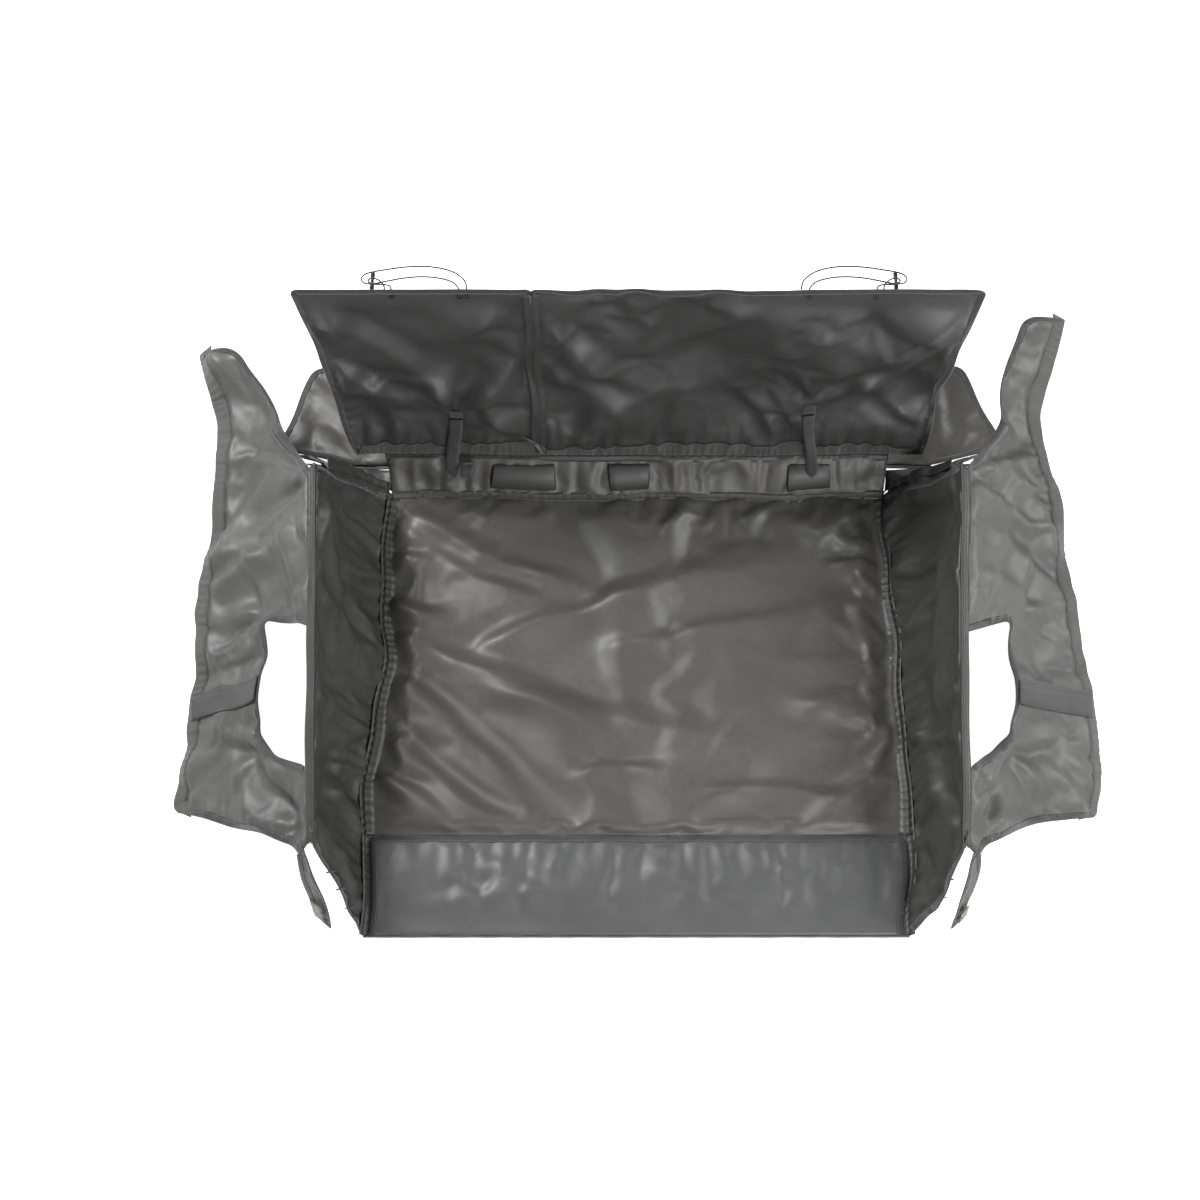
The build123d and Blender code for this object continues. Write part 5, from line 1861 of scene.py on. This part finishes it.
# ---------------------------------------------------------------- back flap
@dataclass
class BackFlap(Assembly):
    """One half of the split back flap with its hem, split tape and strap patch."""

    side: Side
    angle: float = math.radians(84)
    length: float = 0.500
    foot_half: float = 0.569
    waist_half: float = 0.575
    top_half: float = 0.617
    waist_v: float = 0.130
    split_x: float = -0.190

    def __post_init__(self) -> None:
        """Lay out the half."""
        word, side = self.side.word, self.side
        foot = joint(f"back_flap_fold_{word}")["pos_m"]
        self.place = Place.make((0, foot[1], foot[2]), (1, 0, 0), (0, math.cos(self.angle),
                                                                   math.sin(self.angle)), (0, -1, 0.1))
        start, s = 0.0027, side.value
        inner = self.split_x + s * 0.0002
        ring = [(inner, start, 0.02), (s * self.foot_half, start, 0.03),
                (s * self.waist_half, self.waist_v, 0.45),
                (s * self.top_half, self.length, 0.05), (inner, self.length, 0.02)]
        if side is Side.LEFT:
            ring = ring[::-1]
        trims = {}
        for edge in range(5):
            a, b = ring[edge], ring[(edge + 1) % 5]
            bottom = abs(a[1] - start) < 1e-6 and abs(b[1] - start) < 1e-6
            trims[edge] = Trim.WIDE_HEM if bottom else (Trim.SEAM if a[0] == b[0] else Trim.BINDING)
        self.inner = inner
        wide = 0.45 if side is Side.RIGHT else 0.3
        centre = s * 0.3 if side is Side.RIGHT else -0.40

        def rise(flat: Array) -> Array:
            x, v = flat[:, 0], flat[:, 1]
            gathers = perlin(stretch(flat, 2.4, 0.35), 0.05, 91.0 + s)
            gathers = 0.007 * gathers * (1 - smooth(0.02, 0.16, v)) * smooth(0.0, 0.02, v)
            belly = -0.010 * np.sin(np.pi * np.clip(v / self.length, 0,
                                                    1)) * np.cos((x - centre) / wide * 0.9)
            wave = 0.007 * perlin(stretch(flat, 1.0, 0.7), 0.17, 95.0 + s)
            edge = 0.004 * perlin(stretch(flat, 1.5, 1.0), 0.09, 97.0 + s) * smooth(0.42, 0.5, v)
            calm = 1 - 0.97 * np.exp(-(((x - s * 0.40) / 0.16) ** 4) - ((v - self.length) / 0.08) ** 2)
            waves = belly + wave * smooth(0, 0.1, v) + gathers + edge
            return waves * calm * smooth(0.0, 0.05, np.abs(x - self.split_x) + 0.02)

        def share(flat: Array) -> Array:
            return 0.45 + 0.55 * (1 - smooth(0.03, 0.12, flat[:, 1]))

        self.strap_x = 0.337 if side is Side.RIGHT else -0.355

        def damp(flat: Array) -> Array:
            near = np.hypot(flat[:, 0] - self.strap_x, flat[:, 1] - 0.131)
            far = np.hypot((flat[:, 0] - s * 0.40) / 3.5, flat[:, 1] - self.length)
            return (0.2 + 0.8 * smooth(0.014, 0.045, near)) * (0.05 + 0.95 * smooth(0.04, 0.10, far))

        if side is Side.RIGHT:
            folds = [
                Crease((0.59, 0.47), (0.28, 0.22), 0.024, 0.020, 0.03),
                Crease((0.57, 0.38), (0.36, 0.15), 0.018, 0.015, 0.02),
                Crease((0.42, 0.48), (0.10, 0.20), 0.026, 0.020, 0.035),
                Crease((0.22, 0.48), (-0.04, 0.28), 0.022, 0.016, 0.02),
                Crease((0.06, 0.46), (-0.14, 0.22), 0.022, 0.016, 0.02),
                Crease((-0.18, 0.44), (0.04, 0.16), 0.018, 0.014, -0.02),
                Crease((-0.18, 0.30), (0.02, 0.10), 0.016, 0.013, -0.015),
                Crease((0.56, 0.09), (0.40, 0.27), 0.015, 0.013, 0.01),
                Crease((0.27, 0.05), (0.14, 0.24), 0.015, 0.013, -0.01),
                Crease((0.06, 0.05), (0.10, 0.21), 0.013, 0.012, 0.01),
                Crease((-0.12, 0.05), (-0.08, 0.18), 0.012, 0.011, -0.01),
                *fans((self.strap_x, 0.145), (0.015, 0.16), (34, 66, 98, 130), 0.012, 0.011),
            ]
        else:
            folds = [
                Crease((-0.59, 0.47), (-0.36, 0.20), 0.022, 0.018, -0.02),
                Crease((-0.24, 0.47), (-0.46, 0.28), 0.024, 0.018, 0.02),
                Crease((-0.20, 0.34), (-0.36, 0.16), 0.018, 0.015, 0.02),
                Crease((-0.57, 0.28), (-0.36, 0.10), 0.017, 0.014, -0.01),
                Crease((-0.24, 0.05), (-0.30, 0.22), 0.014, 0.012, 0.01),
                Crease((-0.47, 0.05), (-0.52, 0.22), 0.014, 0.013, -0.01),
                *fans((self.strap_x, 0.145), (0.015, 0.14), (52, 90, 126), 0.012, 0.011),
            ]
        self.flap = Panel(
            f"back_flap_sheet_{word}", self.place, outline(*ring), trims=trims, spacing=0.009,
            seed=100.0 + s, growth=0.06, share=share, rise=rise, damp=damp, creases=folds, limit=0.020,
            bending=2.0,
            tack=lambda flat: 1 - smooth(0.012, 0.03, np.hypot(flat[:, 0] - self.strap_x,
                                                               flat[:, 1] - 0.131)),
        )

    def finish(self, wardrobe: Wardrobe) -> None:
        """Dress and place the half."""
        word = self.side.word
        body = f"flap_{word}"
        hems = [tape_over(f"hem_{k}", strip, 0.0036, 0.0032, Ruffle(0.0125, 0.0026, 13.0 * k), 6)
                for k, strip in enumerate(self.flap.strips(Trim.WIDE_HEM))]
        finish_panel(self.flap, wardrobe, "flap_cloth", body, [f"back_flap_{word}"],
                     f"flap_edge_binding_{word}", [f"flap_binding_{word}"])
        hem = joined(f"flap_elastic_hem_{word}", hems)
        wardrobe.fit(hem, "hem_tape_dark", body, [f"flap_hem_{word}"])
        self.make_split_tape(wardrobe)
        self.make_patch(wardrobe)
        self.make_foot(wardrobe)
        wardrobe.dress_node(f"eyelets_{word}", "eyelet_metal")

    def surface(self, x: float, v: float) -> float:
        """Height of the settled cloth at a flat point."""
        gap = np.hypot(self.flap.flat[:, 0] - x, self.flap.flat[:, 1] - v)
        close = np.argsort(gap)[:4]
        heights = self.place.local(self.flap.points[close])[:, 2]
        return float(np.average(heights, weights=1 / (gap[close] + 0.001)))

    def make_split_tape(self, wardrobe: Wardrobe) -> None:
        """Tape along the slit between the halves, with its stitches."""
        word, s = self.side.word, self.side.value
        x = self.inner + s * 0.0076
        marks = np.linspace(0.036, self.length - 0.014, 60)
        path = np.array([self.place.at(x, v, self.surface(x, v) + 0.0012) for v in marks])
        tape = ribbon(f"split_edge_tape_{word}", path, 0.0145, 0.0010, (1, 0, 0))
        wardrobe.fit(tape, "flap_cloth", f"flap_{word}", [f"split_tape_{word}"])
        parts = []
        for v in np.arange(0.04, self.length - 0.02, 0.0065):
            for offset in (-0.0052, 0.0052):
                ends = [self.place.at(x + offset, w, self.surface(x, w) + 0.0026) for w in (v, v + 0.0042)]
                parts.append(stitch(*ends, self.place.z, 0.00035))
        stitches = joined(f"split_tape_stitches_{word}", parts)
        wardrobe.fit(stitches, "binding_tape", f"flap_{word}")

    def make_patch(self, wardrobe: Wardrobe) -> None:
        """The sewn end of the webbing strap, with its box of stitches."""
        word = self.side.word
        low, high = 0.1205, 0.1445
        lift = self.surface(self.strap_x, 0.132) + 0.0018
        path = np.array([self.place.at(self.strap_x, v, lift) for v in np.linspace(low, high, 8)])
        patch = ribbon(f"strap_sewn_end_{word}", path, 0.025, 0.0018, (1, 0, 0))
        parts = []
        corners = [(-0.0095, low + 0.003), (0.0095, low + 0.003), (0.0095, high - 0.003),
                   (-0.0095, high - 0.003)]
        runs = list(zip(corners, corners[1:] + corners[:1])) + [(corners[0], corners[2]),
                                                                (corners[1], corners[3])]
        for a, b in runs:
            length = math.dist(a, b)
            for step in np.arange(0.0008, length - 0.0018, 0.0034):
                share, far = step / length, (step + 0.0022) / length
                ends = [self.place.at(self.strap_x + a[0] + (b[0] - a[0]) * t, a[1] + (b[1] - a[1]) * t,
                                      lift + 0.0011)
                        for t in (share, far)]
                parts.append(stitch(*ends, self.place.z, 0.0003))
        sewn = joined(f"strap_box_stitches_{word}", parts)
        wardrobe.fit(patch, "webbing", f"flap_{word}", [f"strap_patch_{word}"])
        wardrobe.fit(sewn, "hem_tape", f"flap_{word}")

    def make_foot(self, wardrobe: Wardrobe) -> None:
        """The soft fold that joins the flap to the sill."""
        word, s = self.side.word, self.side.value
        outer = s * 0.4985
        line = np.array([self.place.at(self.inner, -0.0015), self.place.at(outer, -0.0015)])
        strip = seam_strip(f"flap_foot_seam_{word}", line, unit((0, -0.4, -0.45)), self.place.y,
                           unit((0, -1, 0.15)),
                           0.006, 0.0008, 0.0006, 9.0 * s)
        wardrobe.fit(strip, "flap_cloth", ("floor", f"flap_{word}"), (),
                     (self.place.at(outer, -0.005), self.place.at(outer, 0.004)))


# ---------------------------------------------------------------- straps, cords and toggles
@dataclass
class StrapAndCords:
    """The webbing strap, elastic loops and toggle of one half of the back flap."""

    side: Side
    width: float = 0.025
    cord: float = 0.003

    def make_strap(self, wardrobe: Wardrobe) -> None:
        """The webbing strap that hangs from its patch to the sill."""
        word, side = self.side.word, self.side
        hinge = np.array(joint(f"strap_swing_{word}")["pos_m"])
        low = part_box(f"webbing_strap_{word}")[0]
        foot = np.array([hinge[0], low.y + 0.001, low.z + 0.001])
        run = foot - hinge
        out = unit(np.cross((1, 0, 0), run))
        out = out if out[1] < 0 else -out
        lean = 0.004 * side.value
        path = [hinge + (0, 0.0005, 0.002), hinge + run * 0.15 + out * 0.002,
                hinge + run * 0.45 + out * 0.007 + (lean, 0, 0),
                hinge + run * 0.75 + out * 0.004 + (lean * 1.5, 0, 0), foot + out * 0.001 + (lean, 0, 0)]
        strap = ribbon(f"webbing_web_{word}", eased(np.array(path), 0.005), self.width, 0.0016, (1, 0, 0),
                       0.014)
        wardrobe.fit(strap, "webbing", f"strap_{word}", [f"webbing_strap_{word}"])
        if side is Side.LEFT:
            centre = middle("strap_loop_left")
            angles = np.linspace(-0.25 * math.pi, 1.62 * math.pi, 40)
            ring = [
                centre + np.array([0.0005 * k / 40, 0.0155 * math.cos(t) * (1 - 0.12 * k / 40),
                                   0.0148 * math.sin(t) * (1 - 0.12 * k / 40)])
                for k, t in enumerate(angles)
            ]
            loop = ribbon("strap_tail_loop", np.array(ring), self.width, 0.0016, (1, 0, 0.03))
            wardrobe.fit(loop, "webbing", f"strap_{word}", ["strap_loop_left"])

    def make_cords(self, wardrobe: Wardrobe) -> None:
        """The long and the short elastic loop, along their routes, and the toggle's finish."""
        word, side = self.side.word, self.side
        inset = {Side.LEFT: 0.314, Side.RIGHT: 0.328}[side]
        x0 = side.value * (0.617 - inset)
        swing = joint(f"cord_swing_{word}")["pos_m"]

        def route(rows: Sequence[tuple[float, float, float]]) -> list[tuple[float, float, float]]:
            return [(x0 + side.value * out * MM, swing[1] + back * MM, swing[2] + up * MM) for out, back,
                    up in rows]

        loops = {
            "long_loop": ((0, 1.5, 0), (1, 14, 0), (10, 27, 2), (32, 41, 3), (70, 49, 3), (112, 46, 5),
                          (148, 37, 8),
                          (170, 32, 9), (183, 27, 8), (188, 18, 7), (182, 9, 8), (168, 6, 9), (146, 12, 8),
                          (110, 23, 5),
                          (72, 27, 3), (38, 22, 2), (19, 13, 0), (14, 1.5, 0)),
            "short_loop": ((134, 1.5, 0), (135, 11, -3), (148, 17, -7), (166, 18.5, -10), (177.5, 19, -2),
                           (172, 19.5, 8), (160, 19, 8), (150, 14, 3), (146, 7, 0), (146, 1.5, 0)),
        }
        for name, rows in loops.items():
            points = route(rows)
            curve = bpy.data.curves.new(f"{name}_cord_{word}", "CURVE")
            curve.dimensions = "3D"
            curve.bevel_depth = self.cord / 2
            curve.bevel_resolution = 3
            curve.resolution_u = 8
            curve.use_fill_caps = True
            spline = curve.splines.new("NURBS")
            spline.points.add(len(points) - 1)
            for spot, point in zip(spline.points, points):
                spot.co = (*point, 1.0)
            spline.order_u = 3
            spline.use_endpoint_u = True
            cord = bpy.data.objects.new(f"{name}_cord_{word}", curve)
            bpy.context.scene.collection.objects.link(cord)
            cord.data.materials.append(wardrobe.materials["elastic_cord"])
            settle_piece(cord, f"cords_{word}", [f"{name}_{word}"])
        wardrobe.dress_node(f"toggle_{word}", "toggle_plastic")

    def finish(self, wardrobe: Wardrobe) -> None:
        """Make the strap, the cords and the toggle."""
        self.make_strap(wardrobe)
        self.make_cords(wardrobe)


# ---------------------------------------------------------------- rear apron
@dataclass
class Apron(Assembly):
    """The apron that lies on the ground behind the sill."""

    foot_half: float = 0.590
    wide_half: float = 0.742
    top_half: float = 0.668
    wide_v: float = 0.042
    depth: float = 0.232

    def __post_init__(self) -> None:
        """Lay out the apron."""
        fold = joint("apron_fold")["pos_m"]
        place = Place.level(fold)
        self.fold = fold
        a, b, c = self.foot_half, self.wide_half, self.top_half

        def rise(flat: Array) -> Array:
            ripples = perlin(stretch(flat, 1.5, 0.5), 0.09, 111.0)
            return 0.004 + 0.010 * np.clip(ripples, 0, 1) * smooth(0.02, 0.08, flat[:, 1])

        self.sheet = Panel(
            "apron_sheet", place,
            outline((-a, 0.0015, 0), (a, 0.0015, 0.05), (b, self.wide_v, 0.2), (c, self.depth, 0.12),
                    (-c, self.depth, 0.12), (-b, self.wide_v, 0.2)),
            trims=trimmed((1, 2, 3, 4, 5)),
            spacing=0.011, seed=110.0, growth=0.025, rise=rise, grounded=True, limit=0.010,
        )

    def finish(self, wardrobe: Wardrobe) -> None:
        """Dress and place the apron and its fold."""
        finish_panel(self.sheet, wardrobe, "liner_cloth", "apron", ["rear_apron"],
                     "apron_edge_binding", ["apron_binding"])
        line = np.array([(-self.foot_half, self.fold[1], 0.0012), (self.foot_half, self.fold[1], 0.0012)])
        strip = seam_strip("apron_fold_seam", line, np.array([0, -0.9, 0.0]), np.array([0, 1.0, 0]),
                           np.array([0, 0, 1.0]), 0.006, 0.0014, 0.0005, 17.0)
        wardrobe.fit(strip, "liner_cloth", ("floor", "apron"), (),
                     ((0, self.fold[1] - 0.004, 0.001), (0, self.fold[1] + 0.004, 0.001)))


# ---------------------------------------------------------------- studio
@dataclass
class Studio:
    """Camera, soft lights, and a plain pale floor."""

    distance_y: float = -1.301
    height: float = 3.263
    tilt: float = 25.0
    lens: float = 55.0
    shift: float = -0.0317
    ambient: float = 0.20
    floor_half: float = 8.0
    floor_z: float = -0.0006
    lights: tuple[tuple, ...] = (                # name, place, target, size and power
        ("key", (-2.2, 1.6, 2.7), (0, 0.1, 0), 1.0, 150),
        ("fill", (2.6, 0.3, 2.2), (0.1, 0, 0), 1.2, 75),
        ("front", (0.9, -2.8, 2.2), (0, 0.5, 0.3), 1.0, 80),
    )

    def build(self) -> None:
        """Set the camera, the lights, the world and the floor."""
        scene = bpy.context.scene
        camera = bpy.data.cameras.new("camera")
        camera.lens = self.lens
        camera.sensor_width = 36
        camera.shift_x = self.shift
        camera.clip_end = 60
        view = bpy.data.objects.new("camera", camera)
        view.location = (0, self.distance_y, self.height)
        view.rotation_euler = (math.radians(self.tilt), 0, 0)
        scene.collection.objects.link(view)
        scene.camera = view
        scene.view_settings.view_transform = "Standard"
        world = bpy.data.worlds.new("studio")
        world.use_nodes = True
        world.node_tree.nodes["Background"].inputs[0].default_value = (1, 1, 1, 1)
        world.node_tree.nodes["Background"].inputs[1].default_value = self.ambient
        scene.world = world
        for row in self.lights:
            self.add_light(*row)
        corners = np.array([(x * self.floor_half, y * self.floor_half, self.floor_z)
                            for x, y in ((-1, -1), (1, -1), (1, 1), (-1, 1))])
        ground = new_object("studio_floor", corners, [[0, 1, 2, 3]], corners)
        material, graph, shader = start_material("studio_floor")
        place = graph.add("ShaderNodeTexCoord").outputs["Object"]
        tone = mixed(graph, graph.noise(place, 3.0), (0.93, 0.93, 0.93), (0.96, 0.96, 0.96))
        graph.link(tone, shader, "Base Color")
        graph.put(shader, "Roughness", 0.9)
        graph.put(shader, "Emission Color", (1, 1, 1, 1))
        seen = graph.add("ShaderNodeLightPath").outputs["Is Camera Ray"]
        graph.link(seen, shader, "Emission Strength")
        ground.data.materials.append(material)

    @staticmethod
    def add_light(name: str, place: Sequence[float], target: Sequence[float], size: float,
                  power: float) -> None:
        """A square soft light that faces a target."""
        light = bpy.data.lights.new(name, "AREA")
        light.shape = "SQUARE"
        light.size = size
        light.energy = power
        lamp = bpy.data.objects.new(name, light)
        lamp.location = place
        lamp.rotation_euler = (Vector(target) - Vector(place)).to_track_quat("-Z", "Y").to_euler()
        bpy.context.scene.collection.objects.link(lamp)


def main() -> None:
    """Build the studio, then every sub-assembly, in order."""
    logging.basicConfig(level=logging.INFO, format="%(name)s: %(message)s")
    Studio().build()
    wardrobe = Wardrobe()
    for side in Side:
        StrapAndCords(side).finish(wardrobe)
    assemblies = [FloorTray(), BumperFlap(), Apron()]
    for side in Side:
        assemblies += [SideWall(side), SideWing(side), CornerTab(side), BackFlap(side)]
    simulate([panel for assembly in assemblies for panel in assembly.panels()])
    for assembly in assemblies:
        assembly.finish(wardrobe)
        LOG.info("%s done", type(assembly).__name__)


if __name__ == "__main__":
    main()
